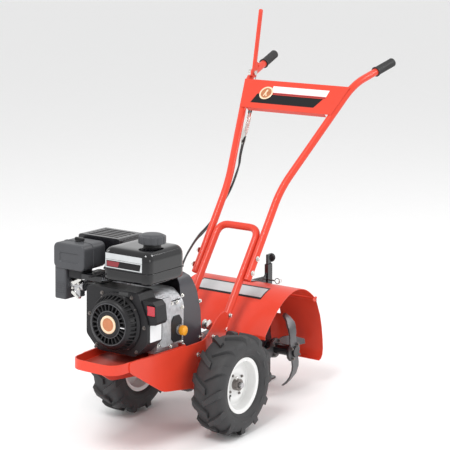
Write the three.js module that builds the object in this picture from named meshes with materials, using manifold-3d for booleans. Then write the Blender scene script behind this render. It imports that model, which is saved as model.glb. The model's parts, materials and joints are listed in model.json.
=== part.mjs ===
// Rear-tine walk-behind tiller with an air-cooled horizontal-shaft engine.
// Millimetres, +Z up. The machine drives towards -Y, and +X is on the left of
// an operator who stands behind the grips. The ground is the plane Z = 0.

import * as THREE from 'three';
import { mergeVertices } from 'three/addons/utils/BufferGeometryUtils.js';
import Module from 'manifold-3d';

const wasm = await Module();
wasm.setup();

// ---------------------------------------------------------------- sizes

const gap = 0.3; // between pieces that touch
const runningGap = 0.5; // between a turning shaft and its bore
const sheet = 2.5; // pressed steel covers

const wheel = {
  radius: 165, carcass: 154, width: 110, offset: 200.5, lugs: 12, lugWidth: 20, lugRise: 12, facets: 20,
};
const rim = { barrel: 80, flange: 91, halfWidth: 42, wall: 3, discAt: 5, hub: 19, hubIn: 36, hubOut: 30 };
// Heights below are measured as if the axle stood at axle.height over the ground.
const axle = { height: 165, radius: 9.5, tube: 26, tubeEnd: 126, stub: 40 };

const inputShaft = { radius: 8, above: 56, worm: 12.5, wormLength: 56, threads: 4, pulleyY: -74 };
const gearCase = { half: 42, wall: 6, drum: 56, rearDrum: 62, tunnel: 30, frontY: -58 };
const wormWheel = { width: 22, axleTeeth: 40, tineTeeth: 16, toothDepth: 4 };

const tines = {
  y: 430, height: 155, shaft: 10.5, hub: 19, hubStart: 64, hubEnd: 181,
  radius: 130, thickness: 6, width: 38, inner: 92, outer: 166, flange: 36, flangeWall: 6,
  tipOut: 44, sweepBack: 24,
};

const hood = {
  half: 203, front: [190, 272], rear: [508, 335], frontAngle: 48, rearAngle: -42,
  frontPull: 165, rearPull: 135, ribWall: 3,
};
const flap = { rod: 3, knuckle: 6.5, drop: 9, wall: 2, half: 198, notch: 34, notchDepth: 88 };
const stake = {
  y: 533, thickness: 8, width: 22, top: 454, travel: 150, slot: 7, pinHeight: 362,
  guideWall: 3, guideBase: 340, guideTop: 420, foot: 46, footWall: 6, pin: 3, saddle: 24,
  knob: 15, knobLength: 14,
};

const deck = {
  height: 298, pitch: -2, frontY: -459, rearY: -122, frontHalf: 84, rearHalf: 108,
  corner: 46, wall: 3, rim: 6, lip: 26, recess: 20, rail: 24,
};
const plate = { wall: 4, frontY: -392, bendY: -20, rearHalf: 92, bendEndY: 72, rearY: 190 };

const crank = { height: 106, radius: 12.5, frontY: -352, endY: -50, pulley: 31, pulleyWidth: 20 };
const drivenPulley = { radius: 58 };
const belt = { width: 10, depth: 8, play: 1.6, slack: 1.2 };
const block = {
  left: 98, right: -80, frontY: -262, rearY: -124, top: 186, wall: 7, flange: 10,
  flangeHalf: 88, boss: 34,
};
const cylinder = {
  tilt: 25, y: -196, barrelEnd: 132, headEnd: 170, size: 84, head: 92, fins: 5, fin: 3,
};
const blower = {
  frontY: -338, halfWidth: 117, bottom: 8, top: 208, chamfer: 46, shoulder: 122, slope: 38,
  wall: 2, eye: 72,
};
const recoil = { frontY: -380, ring: 74, base: 86, wall: 2.5, boss: 35, bossHeight: 5 };
const flywheel = { radius: 84, width: 24, frontY: -312 };

const tank = {
  left: 112, right: -66, frontY: -330, rearY: -136, bottom: 229, top: 331, corner: 24,
  seam: 262, seamWidth: 4, capX: 56, capY: -236, neck: 27, neckHeight: 18,
};
const cap = { radius: 43, height: 30, skirt: 4, lobes: 12, play: 0.9 };
const airCleaner = {
  left: -134, right: -256, frontY: -330, rearY: -222, bottom: 240, top: 322, corner: 14,
  duct: 46, ductBottom: 142, knob: 11, knobHeight: 12,
};
const carburettor = { x: -184, y: -292, z: 188, body: 17, bowl: 19, bowlHeight: 34 };
const muffler = { left: -92, right: -257, frontY: -206, rearY: -76, bottom: 246, top: 330, shell: 6 };
const switchBox = { left: 148, frontY: -332, rearY: -280, bottom: 112, top: 186 };
const rocker = { width: 28, height: 34, depth: 7 };
const dipstick = { y: -150, z: 60, radius: 14, length: 26 };
const starter = { x: 46, z: 176, bushing: 7, grip: 34 };

const beltCover = {
  left: 80, right: -76, frontY: -112, rearY: 6, bottom: 262, top: 538, wall: 2.5, arch: 62,
};

const tube = { radius: 12.7, grip: 15.8, gripLength: 100 };
const leg = { radius: 12.5, half: 79, corner: 34, base: [112, 284], top: [346, 590] };
const handle = {
  start: [104.7, 234, 438], knee: [106, 437, 712], elbow: [214, 735, 1043],
  end: [246, 956, 1101], bend: 60,
};
const panel = { height: 120, centreY: 681, wall: 2.5, flange: 20, overlap: 6 };
const lever = {
  x: -191, pivot: [730, 1058], top: [777, 1282], thickness: 6, width: 19, hub: 17, hole: 5,
  anchor: [757, 1080], eye: 8,
};
const cable = { radius: 3.2, sides: 6 };
const idler = {
  pivot: [24, -58.3, 236], reach: [-34, 76], radius: 20, wheelWidth: 12, wall: 5, bolt: 5, eye: 9,
};

// ---------------------------------------------------------------- materials

const finish = (color, roughness, metalness = 0) => new THREE.MeshStandardMaterial({
  color, roughness, metalness,
});
const paint = finish(0xe2452b, 0.35);
const gloss = finish(0x101012, 0.25);
const plastic = finish(0x17181a, 0.55);
const greyPlastic = finish(0x4a4c50, 0.5);
const coverGrey = finish(0x3c3e44, 0.5);
const casting = finish(0xb9bcc0, 0.45, 0.9);
const zinc = finish(0xc7c9cc, 0.35, 1);
const steel = finish(0x8a8d92, 0.4, 1);
const black = finish(0x141414, 0.4);
const white = finish(0xf0f0ee, 0.4);
const tread = finish(0x202123, 0.85);
const rubber = finish(0x1b1c1e, 0.8);
const bronze = finish(0xa8803f, 0.4, 1);
const amber = finish(0xe0a020, 0.45);
const red = finish(0xb81f2a, 0.4);

// ---------------------------------------------------------------- solids

// The shared vertices of a geometry; a solid that was cut or joined has them already.
function welded(geometry) {
  if (geometry.userData.welded) return geometry;
  const bare = new THREE.BufferGeometry();
  bare.setAttribute('position', geometry.getAttribute('position').clone());
  if (geometry.index) bare.setIndex(geometry.index.clone());
  return mergeVertices(bare, 1e-3);
}

// A closed geometry as a solid whose faces point out.
function solid(geometry) {
  const merged = welded(geometry);
  const place = merged.getAttribute('position').array;
  const corners = merged.index.array;
  const faces = [];
  let volume = 0;
  for (let i = 0; i < corners.length; i += 3) {
    const [a, b, c] = [corners[i], corners[i + 1], corners[i + 2]];
    if (a === b || b === c || c === a) continue;
    faces.push([a, b, c]);
    const [p, q, r] = [a, b, c].map((n) => new THREE.Vector3().fromArray(place, 3 * n));
    volume += p.dot(q.cross(r));
  }
  const outward = volume > 0 ? faces : faces.map(([a, b, c]) => [a, c, b]);
  return new wasm.Manifold(new wasm.Mesh({
    numProp: 3,
    vertProperties: new Float32Array(place),
    triVerts: new Uint32Array(outward.flat()),
  }));
}

function geometryOf(body) {
  const mesh = body.getMesh();
  const geometry = new THREE.BufferGeometry();
  geometry.setAttribute('position', new THREE.BufferAttribute(mesh.vertProperties, 3));
  geometry.setIndex(new THREE.BufferAttribute(mesh.triVerts, 1));
  geometry.computeVertexNormals();
  geometry.userData.welded = true;
  return geometry;
}

const join = (...shapes) => geometryOf(shapes.map(solid).reduce((a, b) => a.add(b)));
const cut = (shape, ...tools) => geometryOf(tools.map(solid).reduce((a, b) => a.subtract(b), solid(shape)));
const common = (a, b) => geometryOf(solid(a).intersect(solid(b)));
const mirrored = (shape) => shape.clone().scale(-1, 1, 1);

// Axes that turn a flat outline (u, v) and its thickness into model axes.
const outlineAxes = {
  x: [[0, 1, 0], [0, 0, 1], [1, 0, 0]],
  y: [[1, 0, 0], [0, 0, 1], [0, -1, 0]],
  z: [[1, 0, 0], [0, 1, 0], [0, 0, 1]],
};

// An outline extruded along an axis: (Y, Z) along x, (X, Z) along y, (X, Y) along z.
function slab(axis, outline, from, to) {
  const shape = new THREE.Shape(outline.map(([u, v]) => new THREE.Vector2(u, v)));
  const geometry = new THREE.ExtrudeGeometry(shape, { depth: to - from, bevelEnabled: false });
  const basis = outlineAxes[axis].map((column) => new THREE.Vector3(...column));
  geometry.applyMatrix4(new THREE.Matrix4().makeBasis(...basis));
  const shift = { x: [from, 0, 0], y: [0, to, 0], z: [0, 0, from] }[axis];
  return geometry.translate(...shift);
}

// A box between two corners.
function box([x0, y0, z0], [x1, y1, z1]) {
  const geometry = new THREE.BoxGeometry(x1 - x0, y1 - y0, z1 - z0);
  return geometry.translate((x0 + x1) / 2, (y0 + y1) / 2, (z0 + z1) / 2);
}

// A profile of [radius, distance] turned about an axis through the point `at`.
function turned(axis, profile, at = [0, 0, 0], sides = 18) {
  const points = profile.map(([r, h]) => new THREE.Vector2(r, h));
  const geometry = new THREE.LatheGeometry(points, sides);
  if (axis === 'x') geometry.rotateZ(-Math.PI / 2);
  if (axis === 'z') geometry.rotateX(Math.PI / 2);
  return geometry.translate(...at);
}

// A round bar along an axis, from one distance to another.
const bar = (axis, radius, from, to, at, sides) => (
  turned(axis, [[0, from], [radius, from], [radius, to], [0, to]], at, sides)
);

// A tube wall along an axis.
const pipe = (axis, outer, inner, from, to, at, sides) => (
  turned(axis, [[inner, from], [outer, from], [outer, to], [inner, to], [inner, from]], at, sides)
);

// A polygon with its corners rounded by short curves.
function soft(points, radius, steps = 3) {
  const corners = points.map(([x, y]) => new THREE.Vector2(x, y));
  const count = corners.length;
  return corners.flatMap((corner, i) => {
    const back = corners[(i + count - 1) % count].clone().sub(corner);
    const on = corners[(i + 1) % count].clone().sub(corner);
    const reach = Math.min(radius, back.length() * 0.45, on.length() * 0.45);
    const start = back.setLength(reach).add(corner);
    const end = on.setLength(reach).add(corner);
    const curve = new THREE.QuadraticBezierCurve(start, corner, end);
    return curve.getPoints(steps).map((p) => [p.x, p.y]);
  });
}

const rectangle = (u0, v0, u1, v1) => [[u0, v0], [u1, v0], [u1, v1], [u0, v1]];

const ring = (radius, sides, [u, v] = [0, 0]) => Array.from({ length: sides }, (_, i) => {
  const angle = (2 * Math.PI * i) / sides;
  return [u + radius * Math.cos(angle), v + radius * Math.sin(angle)];
});

// The outline of a sheet that follows a line of points, with its wall on one side.
function band(points, wall) {
  const line = points.map(([u, v]) => new THREE.Vector2(u, v));
  const inner = line.map((point, i) => {
    const before = line[Math.max(i - 1, 0)];
    const after = line[Math.min(i + 1, line.length - 1)];
    const along = after.clone().sub(before).normalize();
    return [point.x + along.y * wall, point.y - along.x * wall];
  });
  return [...points, ...inner.reverse()];
}

// A line of 3-D points with each inner corner replaced by a short curve.
function bentPath(points, bend) {
  const path = new THREE.CurvePath();
  const stops = points.map((p) => new THREE.Vector3(...p));
  let from = stops[0];
  for (let i = 1; i < stops.length - 1; i += 1) {
    const enter = stops[i - 1].clone().sub(stops[i]).setLength(bend).add(stops[i]);
    const leave = stops[i + 1].clone().sub(stops[i]).setLength(bend).add(stops[i]);
    path.add(new THREE.LineCurve3(from, enter));
    path.add(new THREE.QuadraticBezierCurve3(enter, stops[i], leave));
    from = leave;
  }
  path.add(new THREE.LineCurve3(from, stops[stops.length - 1]));
  return path;
}

function swept(path, section, steps) {
  const shape = new THREE.Shape(section.map(([u, v]) => new THREE.Vector2(u, v)));
  return new THREE.ExtrudeGeometry(shape, { steps, extrudePath: path, bevelEnabled: false });
}

const model = new THREE.Group();

// Wheels of another size lift or lower everything with the axle.
const chassis = new THREE.Group();
chassis.position.z = wheel.radius - axle.height;
model.add(chassis);

function part(name, geometry, material, parent = chassis) {
  const mesh = new THREE.Mesh(geometryOf(solid(geometry)), material);
  mesh.name = name;
  parent.add(mesh);
  return mesh;
}

const flanks = [['left', 1], ['right', -1]];
const onSide = (side, shape) => (side > 0 ? shape : mirrored(shape));

// ---------------------------------------------------------------- wheels and axle

const wheelSet = new THREE.Group();
wheelSet.position.set(0, 0, axle.height);
chassis.add(wheelSet);

function rimShape() {
  const { barrel, flange, halfWidth, wall, discAt, hub, hubIn, hubOut } = rim;
  const bore = axle.radius + gap;
  return turned('x', [
    [bore, -hubIn], [hub, -hubIn], [hub, discAt], [barrel - wall, discAt],
    [barrel - wall, -halfWidth], [flange, -halfWidth], [flange, wall - halfWidth],
    [barrel, wall - halfWidth], [barrel, halfWidth - wall], [flange, halfWidth - wall],
    [flange, halfWidth], [barrel - wall, halfWidth], [barrel - wall, discAt + wall],
    [hub, discAt + wall], [hub, hubOut], [bore, hubOut], [bore, -hubIn],
  ], [0, 0, 0], wheel.facets);
}

// One lug of the tread: a bar laid at an angle from the middle to the shoulder.
function lugShape(turn, side) {
  const { radius, carcass, width, lugWidth, lugRise } = wheel;
  const half = width / 2;
  const near = lugWidth / 2;
  const far = lugWidth * 1.1;
  const outline = [[1, -far - near], [half, far - near], [half, far + near], [1, near - far]];
  const crown = Math.sqrt(radius ** 2 - (far + near) ** 2);
  const lug = slab('z', outline, carcass - lugRise, crown);
  const shoulder = slab('y', [
    [half * 0.5, crown + 1], [half, crown - lugRise], [half + 1, crown + 1],
  ], -2 * far, 2 * far);
  return onSide(side, cut(lug, shoulder)).rotateX(turn);
}

function tyreShape() {
  const { carcass, width, lugs } = wheel;
  const seat = rim.barrel + gap;
  const beadHalf = rim.halfWidth - rim.wall - gap;
  const half = width / 2;
  const flank = [[rim.flange + 2, beadHalf], [118, half], [140, half * 0.96], [carcass, half * 0.5]];
  const other = flank.map(([r, x]) => [r, -x]).reverse();
  const body = turned('x', [
    [seat, beadHalf], ...flank, ...other, [seat, -beadHalf], [seat, beadHalf],
  ], [0, 0, 0], wheel.facets);
  const step = (2 * Math.PI) / lugs;
  const pairs = Array.from({ length: lugs }, (_, i) => [
    lugShape(i * step, 1), lugShape((i + 0.5) * step, -1),
  ]);
  return join(body, ...pairs.flat());
}

const tyre = tyreShape();
for (const [label, side] of flanks) {
  const x = side * wheel.offset;
  part(`wheel_rim_${label}`, onSide(side, rimShape()), white, wheelSet).position.x = x;
  part(`tyre_${label}`, onSide(side, tyre), tread, wheelSet).position.x = x;
}
const axleEnd = wheel.offset + axle.stub;
part('axle_shaft', bar('x', axle.radius, -axleEnd, axleEnd), steel, wheelSet);

// A worm wheel whose short teeth just clear the worm.
function wormWheelShape(teeth, distance, boreRadius) {
  const tip = distance - inputShaft.worm - runningGap;
  const root = tip - wormWheel.toothDepth;
  const outline = Array.from({ length: teeth }, (_, i) => {
    const step = (2 * Math.PI) / teeth;
    return [[root, -0.28], [tip, -0.14], [tip, 0.14], [root, 0.28]].map(([r, share]) => {
      const angle = (i + share) * step;
      return [r * Math.cos(angle), r * Math.sin(angle)];
    });
  }).flat();
  const half = wormWheel.width / 2;
  return cut(slab('x', outline, -half, half), bar('x', boreRadius + gap, -half - 1, half + 1));
}

const axleWheel = wormWheelShape(wormWheel.axleTeeth, inputShaft.above, axle.radius);
part('axle_worm_wheel', axleWheel, bronze, wheelSet);

// ---------------------------------------------------------------- tine rotor

const rotor = new THREE.Group();
rotor.position.set(0, tines.y, tines.height);
chassis.add(rotor);

// Shaft with a hub on each side that carries two bolting flanges.
function tineShaftShape() {
  const { shaft, hub, hubStart, hubEnd, inner, outer, flange, flangeWall } = tines;
  const side = [
    [shaft, hubStart], [hub, hubStart], [hub, inner - flangeWall], [flange, inner - flangeWall],
    [flange, inner], [hub, inner], [hub, outer - flangeWall], [flange, outer - flangeWall],
    [flange, outer], [hub, outer], [hub, hubEnd],
  ];
  const other = side.map(([r, x]) => [r, -x]).reverse();
  return turned('x', [[0, -hubEnd], ...other, ...side, [0, hubEnd]], [0, 0, 0], 12);
}
part('tine_shaft', tineShaftShape(), black, rotor);

// A double-ended blade, bolted across the hub: both tips bend sideways and trail.
function bladeShape(tipSide) {
  const { radius, thickness, width, hub, flange, tipOut, sweepBack } = tines;
  const tip = tipOut * tipSide;
  const half = width / 2;
  const reach = radius * 0.96;
  const bend = [[0, reach * 0.5], [tip * 0.15, reach * 0.68], [tip * 0.5, reach * 0.86], [tip, reach]];
  const line = [...bend.map(([x, z]) => [x, -z]).reverse(), ...bend]
    .map(([x, z]) => [x - thickness / 2, z]);
  const strip = slab('y', band(line, thickness), -half - sweepBack, half + sweepBack);
  const edge = [
    [half, reach * 0.4], [sweepBack + half * 0.7, reach * 0.76], [sweepBack + half * 0.5, reach],
    [sweepBack - half * 0.4, reach * 0.97], [-half * 0.3, reach * 0.74], [-half, reach * 0.4],
  ];
  const plan = slab('x', [...edge, ...edge.map(([y, z]) => [-y, -z])], -tipOut * 1.2, tipOut * 1.2);
  const eye = bar('x', flange - 2, -thickness / 2, thickness / 2);
  return cut(join(common(strip, plan), eye), bar('x', hub + gap, -thickness, thickness));
}

const blades = [
  ['tine_blade_left_outer', tines.outer, -1, 12], ['tine_blade_left_inner', tines.inner, 1, 102],
  ['tine_blade_right_inner', -tines.inner, -1, 57], ['tine_blade_right_outer', -tines.outer, 1, 147],
];
for (const [name, x, tipSide, turn] of blades) {
  const face = Math.sign(x) * (tines.thickness / 2 + gap);
  const blade = part(name, bladeShape(tipSide), gloss, rotor);
  blade.position.x = x + face;
  blade.rotation.x = THREE.MathUtils.degToRad(turn);
}

const inputZ = axle.height + inputShaft.above;
const tineDistance = inputZ - tines.height;
const tineWheel = wormWheelShape(wormWheel.tineTeeth, tineDistance, tines.shaft);
part('tine_worm_wheel', tineWheel, bronze, rotor);

// ---------------------------------------------------------------- transmission

const drive = new THREE.Group();
drive.position.set(0, 0, inputZ);
chassis.add(drive);

// Both worms are cut on the one shaft; their threads are drawn as rings.
function inputShaftShape() {
  const { radius, worm, wormLength, threads, pulleyY } = inputShaft;
  const half = wormLength / 2;
  const end = tines.y + half + 14;
  const lead = wormLength / threads;
  const rings = (y) => Array.from({ length: threads }, (_, i) => {
    const start = y - half + i * lead;
    return [[worm - 3, start], [worm, start + lead * 0.35], [worm, start + lead * 0.65]];
  }).flat();
  const wormProfile = (y) => [[radius, y - half], ...rings(y), [worm - 3, y + half], [radius, y + half]];
  return turned('y', [
    [0, pulleyY - 18], [radius, pulleyY - 18], ...wormProfile(0), ...wormProfile(tines.y),
    [radius, end], [0, end],
  ], [0, 0, 0], 12);
}
part('input_shaft', inputShaftShape(), steel, drive);

// A belt pulley: groove, rims and a bored hub.
function pulleyShape(radius, width, bore) {
  const half = width / 2;
  const groove = belt.width / 2 + belt.play;
  const root = radius - belt.depth - 2;
  return turned('y', [
    [bore, -half - 6], [bore + 8, -half - 6], [bore + 8, -half], [radius, -half],
    [radius, -groove], [root, -groove], [root, groove], [radius, groove], [radius, half],
    [bore, half], [bore, -half - 6],
  ]);
}
const driven = pulleyShape(drivenPulley.radius, crank.pulleyWidth, inputShaft.radius + gap);
part('driven_pulley', driven, steel, drive).position.y = inputShaft.pulleyY;

// The two gear case halves bolt together on the machine's middle plane.
function gearCaseShape() {
  const { half, wall, drum, rearDrum, tunnel, frontY } = gearCase;
  const rearTunnel = tines.y + 24;
  const hollow = (by, from, to) => [
    bar('x', drum - by, from, to, [0, 0, axle.height]),
    bar('x', rearDrum - by, from, to, [0, tines.y, tines.height]),
    box([from, frontY + by, inputZ - tunnel + by], [to, rearTunnel + 24 - by, inputZ + tunnel - by]),
  ];
  const outer = join(
    ...hollow(0, gap / 2, half),
    bar('x', axle.tube, gap / 2, axle.tubeEnd, [0, 0, axle.height]),
    bar('x', axle.tube, gap / 2, tines.hubStart - 1, [0, tines.y, tines.height]),
  );
  return cut(
    outer,
    ...hollow(wall, -1, half - wall),
    bar('x', axle.radius + runningGap, -1, axle.tubeEnd + 1, [0, 0, axle.height]),
    bar('x', tines.shaft + runningGap, -1, tines.hubStart + 1, [0, tines.y, tines.height]),
    bar('y', inputShaft.radius + runningGap, frontY - 1, frontY + wall + 1, [0, 0, inputZ]),
  );
}
const caseHalf = gearCaseShape();
for (const [label, side] of flanks) {
  part(`gear_case_${label}`, onSide(side, caseHalf), paint);
}

// ---------------------------------------------------------------- hood, flap and stake

const angled = (degrees, length) => [
  length * Math.cos(THREE.MathUtils.degToRad(degrees)),
  length * Math.sin(THREE.MathUtils.degToRad(degrees)),
];

function hoodCurve() {
  const [frontY, frontZ] = hood.front;
  const [rearY, rearZ] = hood.rear;
  const [a, b] = angled(hood.frontAngle, hood.frontPull);
  const [c, d] = angled(hood.rearAngle, hood.rearPull);
  return new THREE.CubicBezierCurve(
    new THREE.Vector2(frontY, frontZ), new THREE.Vector2(frontY + a, frontZ + b),
    new THREE.Vector2(rearY - c, rearZ - d), new THREE.Vector2(rearY, rearZ),
  );
}

const hinge = [hood.rear[0] + flap.drop, hood.rear[1] - flap.drop];

// The skin, the two webs that stand on the gear case, and a hinge lug at each rear corner.
function hoodShape() {
  const line = hoodCurve().getPoints(16).map((p) => [p.x, p.y]);
  const skin = slab('x', band(line, sheet), -hood.half, hood.half);
  const inside = band(line, sheet * 0.6).slice(line.length).reverse();
  const seat = inputZ + gearCase.tunnel - 24;
  const webOutline = [...inside.slice(2, 14), [tines.y - 10, seat], [inside[2][0] + 10, seat]];
  const start = gearCase.half + gap;
  const [hingeY, hingeZ] = hinge;
  const lugOutline = soft([[-22, 6], [-9, 8], [8, 8], [8, -8], [-10, -8]], 6)
    .map(([y, z]) => [y + hingeY, z + hingeZ]);
  const extras = flanks.flatMap(([, side]) => [
    onSide(side, slab('x', webOutline, start, start + hood.ribWall)),
    onSide(side, slab('x', lugOutline, flap.half + gap, hood.half)),
  ]);
  const bore = bar('x', flap.rod + gap, -hood.half - 1, hood.half + 1, [0, ...hinge], 12);
  return cut(join(skin, ...extras), bore);
}
part('tine_hood', hoodShape(), paint);

const flapGroup = new THREE.Group();
flapGroup.position.set(0, ...hinge);
chassis.add(flapGroup);

// The rear flap hangs from its rod; a notch leaves room for the depth stake.
function flapShape() {
  const { rod, knuckle, wall, half, notch, notchDepth } = flap;
  const line = [
    [knuckle - 1, 0], [18, -26], [38, -68], [50, -112], [58, -158], [61, -194], [58, -214],
    [50, -226], [36, -230],
  ];
  const skin = slab('x', band(line.reverse(), wall), -half, half);
  const roll = bar('x', knuckle, -half, half, [0, 0, 0], 12);
  const bore = bar('x', rod + runningGap, -half - 1, half + 1, [0, 0, 0], 12);
  const window = box([-notch, -knuckle - 4, -notchDepth], [notch, notchDepth, knuckle + 4]);
  const reach = stake.y + stake.width / 2 + 5 - hinge[0];
  const slit = box([-notch / 3, 0, -240], [notch / 3, reach, -200]);
  return cut(join(skin, roll), bore, window, slit);
}
part('rear_flap', flapShape(), paint, flapGroup);

const rodEnd = hood.half + 4;
part('flap_hinge_rod', bar('x', flap.rod, -rodEnd, rodEnd, [0, 0, 0], 12), zinc, flapGroup);

const stakeGroup = new THREE.Group();
stakeGroup.position.set(0, stake.y, 0);
chassis.add(stakeGroup);

// The stake slides up and down; its slot lets it pass the locking pin.
function stakeShape() {
  const { thickness, width, top, foot, footWall, slot, pinHeight, travel, pin, knob } = stake;
  const half = thickness / 2;
  const ground = -chassis.position.z;
  const sole = soft(rectangle(-foot / 2, -foot / 2, foot / 2, foot / 2), 10);
  const blade = box([-half, -width / 2, ground], [half, width / 2, top]);
  const shoe = slab('z', sole, ground, ground + footWall);
  const low = pinHeight - travel - pin - 2;
  const groove = slab('x', soft(
    rectangle(-slot / 2, low, slot / 2, pinHeight + pin + 2), slot / 2,
  ), -half - 1, half + 1);
  const rear = width / 2;
  const grip = turned('y', [
    [0, rear - 1], [knob * 0.5, rear - 1], [knob * 0.5, rear + 3], [knob, rear + 4],
    [knob, rear + stake.knobLength - 3], [knob - 3, rear + stake.knobLength], [0, rear + stake.knobLength],
  ], [0, 0, top - knob], 16);
  return join(cut(blade, groove), shoe, grip);
}
part('depth_stake', stakeShape(), black, stakeGroup);

// The guide is a square tube on a saddle that follows the hood's rear slope.
function stakeGuideShape() {
  const { thickness, width, guideWall: wall, guideBase, guideTop, pinHeight, pin, saddle } = stake;
  const x = thickness / 2 + gap;
  const y = width / 2 + gap;
  const outer = box([-x - wall, -y - wall, guideBase], [x + wall, y + wall, guideTop]);
  const inner = box([-x, -y, guideBase - 1], [x, y, guideTop + 1]);
  const hole = bar('x', pin + gap, -20, 20, [0, 0, pinHeight], 12);
  const crest = hoodCurve().getPoints(16).slice(10).map((p) => [p.x - stake.y, p.y]);
  const seat = band(crest, -gap).slice(crest.length).reverse();
  const strap = slab('x', band(seat, -wall), -saddle, saddle);
  const neck = -y - wall + 0.5;
  const web = slab('x', [
    ...seat.slice(1).map(([u, v]) => [u, v + wall / 2]), [neck, seat.at(-1)[1] + wall / 2],
    [neck, guideBase + 50], [neck - 14, guideBase + 40],
  ], -wall, wall);
  const collar = box([-x - wall, -y - wall, seat.at(-1)[1]], [x + wall, y + wall, guideBase + 1]);
  return cut(join(outer, strap, web, collar), inner, hole, box([-x, -y, 300], [x, y, guideBase]));
}
part('stake_guide', stakeGuideShape(), black, stakeGroup);

function stakePinShape() {
  const { pin, pinHeight, thickness, guideWall } = stake;
  const reach = thickness / 2 + gap + guideWall;
  const shank = bar('x', pin, -reach - 6, reach + 22, [0, 0, pinHeight], 12);
  const head = pipe('y', 11, 8.4, -1.4, 1.4, [reach + 30, 0, pinHeight], 16);
  return join(shank, head);
}
part('stake_pin', stakePinShape(), zinc, stakeGroup);

// ---------------------------------------------------------------- frame

const powerhead = new THREE.Group();
powerhead.position.set(0, 0, deck.height);
powerhead.rotation.x = THREE.MathUtils.degToRad(deck.pitch);
chassis.add(powerhead);

const deckHalf = (y) => THREE.MathUtils.mapLinear(
  y, deck.frontY, deck.rearY, deck.frontHalf, deck.rearHalf,
);

function deckShape() {
  const { frontY, rearY, corner, wall, rim: top, lip, recess, rail } = deck;
  const outline = (inset) => {
    const front = frontY + inset;
    const back = rearY - inset;
    const corners = [
      [-deckHalf(front) + inset, front], [deckHalf(front) - inset, front],
      [deckHalf(back) - inset, back], [-deckHalf(back) + inset, back],
    ];
    const round = soft(corners, corner, 5);
    return [...round.slice(0, 12), corners[2], corners[3]];
  };
  const tray = slab('z', outline(0), -lip, top);
  const bowl = slab('z', outline(wall), -recess, top + 1);
  const under = slab('z', outline(wall), -lip - 1, -recess - wall);
  const railAt = (x) => box(
    [x - rail / 2, block.frontY + 4, -recess - 1], [x + rail / 2, rearY - wall - 1, -gap],
  );
  const railX = block.flangeHalf - rail / 2 - 2;
  return join(cut(tray, bowl, under), railAt(railX), railAt(-railX));
}
part('engine_deck', deckShape(), paint, powerhead);

// A side plate ties the deck, the axle tube and the handle bracket together.
function sidePlateShape() {
  const { wall, frontY, bendY, rearHalf, bendEndY, rearY } = plate;
  const insideLine = [
    [deckHalf(frontY) + gap, frontY], [deckHalf(deck.rearY) + gap, deck.rearY],
    [deckHalf(deck.rearY) + gap, bendY], [rearHalf, bendEndY], [rearHalf, rearY],
  ];
  const flat = slab('z', [...insideLine, ...insideLine.map(([x, y]) => [x + wall, y]).reverse()], 100, 400);
  const rimHeight = (y) => deck.height + deck.rim - y * Math.sin(-powerhead.rotation.x);
  const low = rimHeight(frontY) - deck.rim - deck.lip;
  const outline = soft([
    [frontY, rimHeight(frontY)], [-30, deck.height + 2], [106, 362], [134, 350], [112, 214],
    [46, 124], [-40, 124], [-95, 158], [-238, 184], [frontY, low],
  ], 16);
  const profile = slab('x', outline, 80, 130);
  const hole = bar('x', axle.tube + gap, 60, 140, [0, 0, axle.height]);
  return cut(common(flat, profile), hole);
}
const sidePlate = sidePlateShape();
for (const [label, side] of flanks) part(`frame_side_${label}`, onSide(side, sidePlate), paint);

// ---------------------------------------------------------------- engine

function crankcaseShape() {
  const { left, right, frontY, rearY, top, wall, flange, flangeHalf, boss } = block;
  const body = slab('y', soft([
    [right, flange], [left, flange], [left, top - 40], [left - 40, top], [right, top],
  ], 14), frontY, rearY);
  const hollow = box(
    [right + wall, frontY + wall, flange + wall], [left - wall, rearY - wall, top - wall - 24],
  );
  const base = slab('z', soft(rectangle(-flangeHalf, frontY + 8, flangeHalf, rearY - 5), 12), 0, flange + 2);
  const hub = bar('y', boss, rearY - 1, rearY + 6, [0, 0, crank.height]);
  const barrel = cylinderFins(cylinder.size, 60, cylinder.barrelEnd);
  const bore = bar('y', crank.radius + runningGap, frontY - 1, rearY + 8, [0, 0, crank.height]);
  const filler = bar('x', dipstick.radius + 2, left - 2, left + 8, [0, dipstick.y, dipstick.z], 16);
  const well = bar('x', 8, left - wall - 1, left + 9, [0, dipstick.y, dipstick.z], 12);
  const solidBody = join(body, base, hub, barrel, filler);
  return cut(solidBody, hollow, bore, well);
}

// A finned block along the tilted cylinder axis, from one distance to another.
function cylinderFins(size, from, to) {
  const { y, fins, fin, tilt } = cylinder;
  const core = box([from, -size * 0.36, -size * 0.36], [to, size * 0.36, size * 0.36]);
  const spacing = (to - from) / fins;
  const plates = Array.from({ length: fins }, (_, i) => {
    const at = from + spacing * (i + 1) - fin;
    return box([at, -size / 2, -size / 2], [at + fin, size / 2, size / 2]);
  });
  const stack = join(core, ...plates);
  stack.rotateY(THREE.MathUtils.degToRad(180 + tilt));
  return stack.translate(0, y, crank.height);
}

part('crankcase', crankcaseShape(), casting, powerhead);
const headFins = cylinderFins(cylinder.head, cylinder.barrelEnd + gap, cylinder.headEnd);
part('cylinder_head', headFins, casting, powerhead);

function blowerShape() {
  const { frontY, halfWidth, bottom, top, chamfer, shoulder, slope, wall, eye } = blower;
  const outline = (inset) => {
    const side = halfWidth - inset;
    const low = bottom + inset;
    const high = top - inset;
    return soft([
      [-side, low + chamfer], [-side + chamfer, low], [side - chamfer, low], [side, low + chamfer],
      [side, shoulder], [side - slope, high], [-side + 12, high], [-side, high - 12],
    ], 8, 2);
  };
  const shell = slab('y', outline(0), frontY, block.frontY - gap);
  const inside = slab('y', outline(wall), frontY + wall, block.frontY + 1);
  return cut(shell, inside, bar('y', eye, frontY - 1, frontY + wall + 1, [0, 0, crank.height]));
}
part('blower_housing', blowerShape(), plastic, powerhead);

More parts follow.
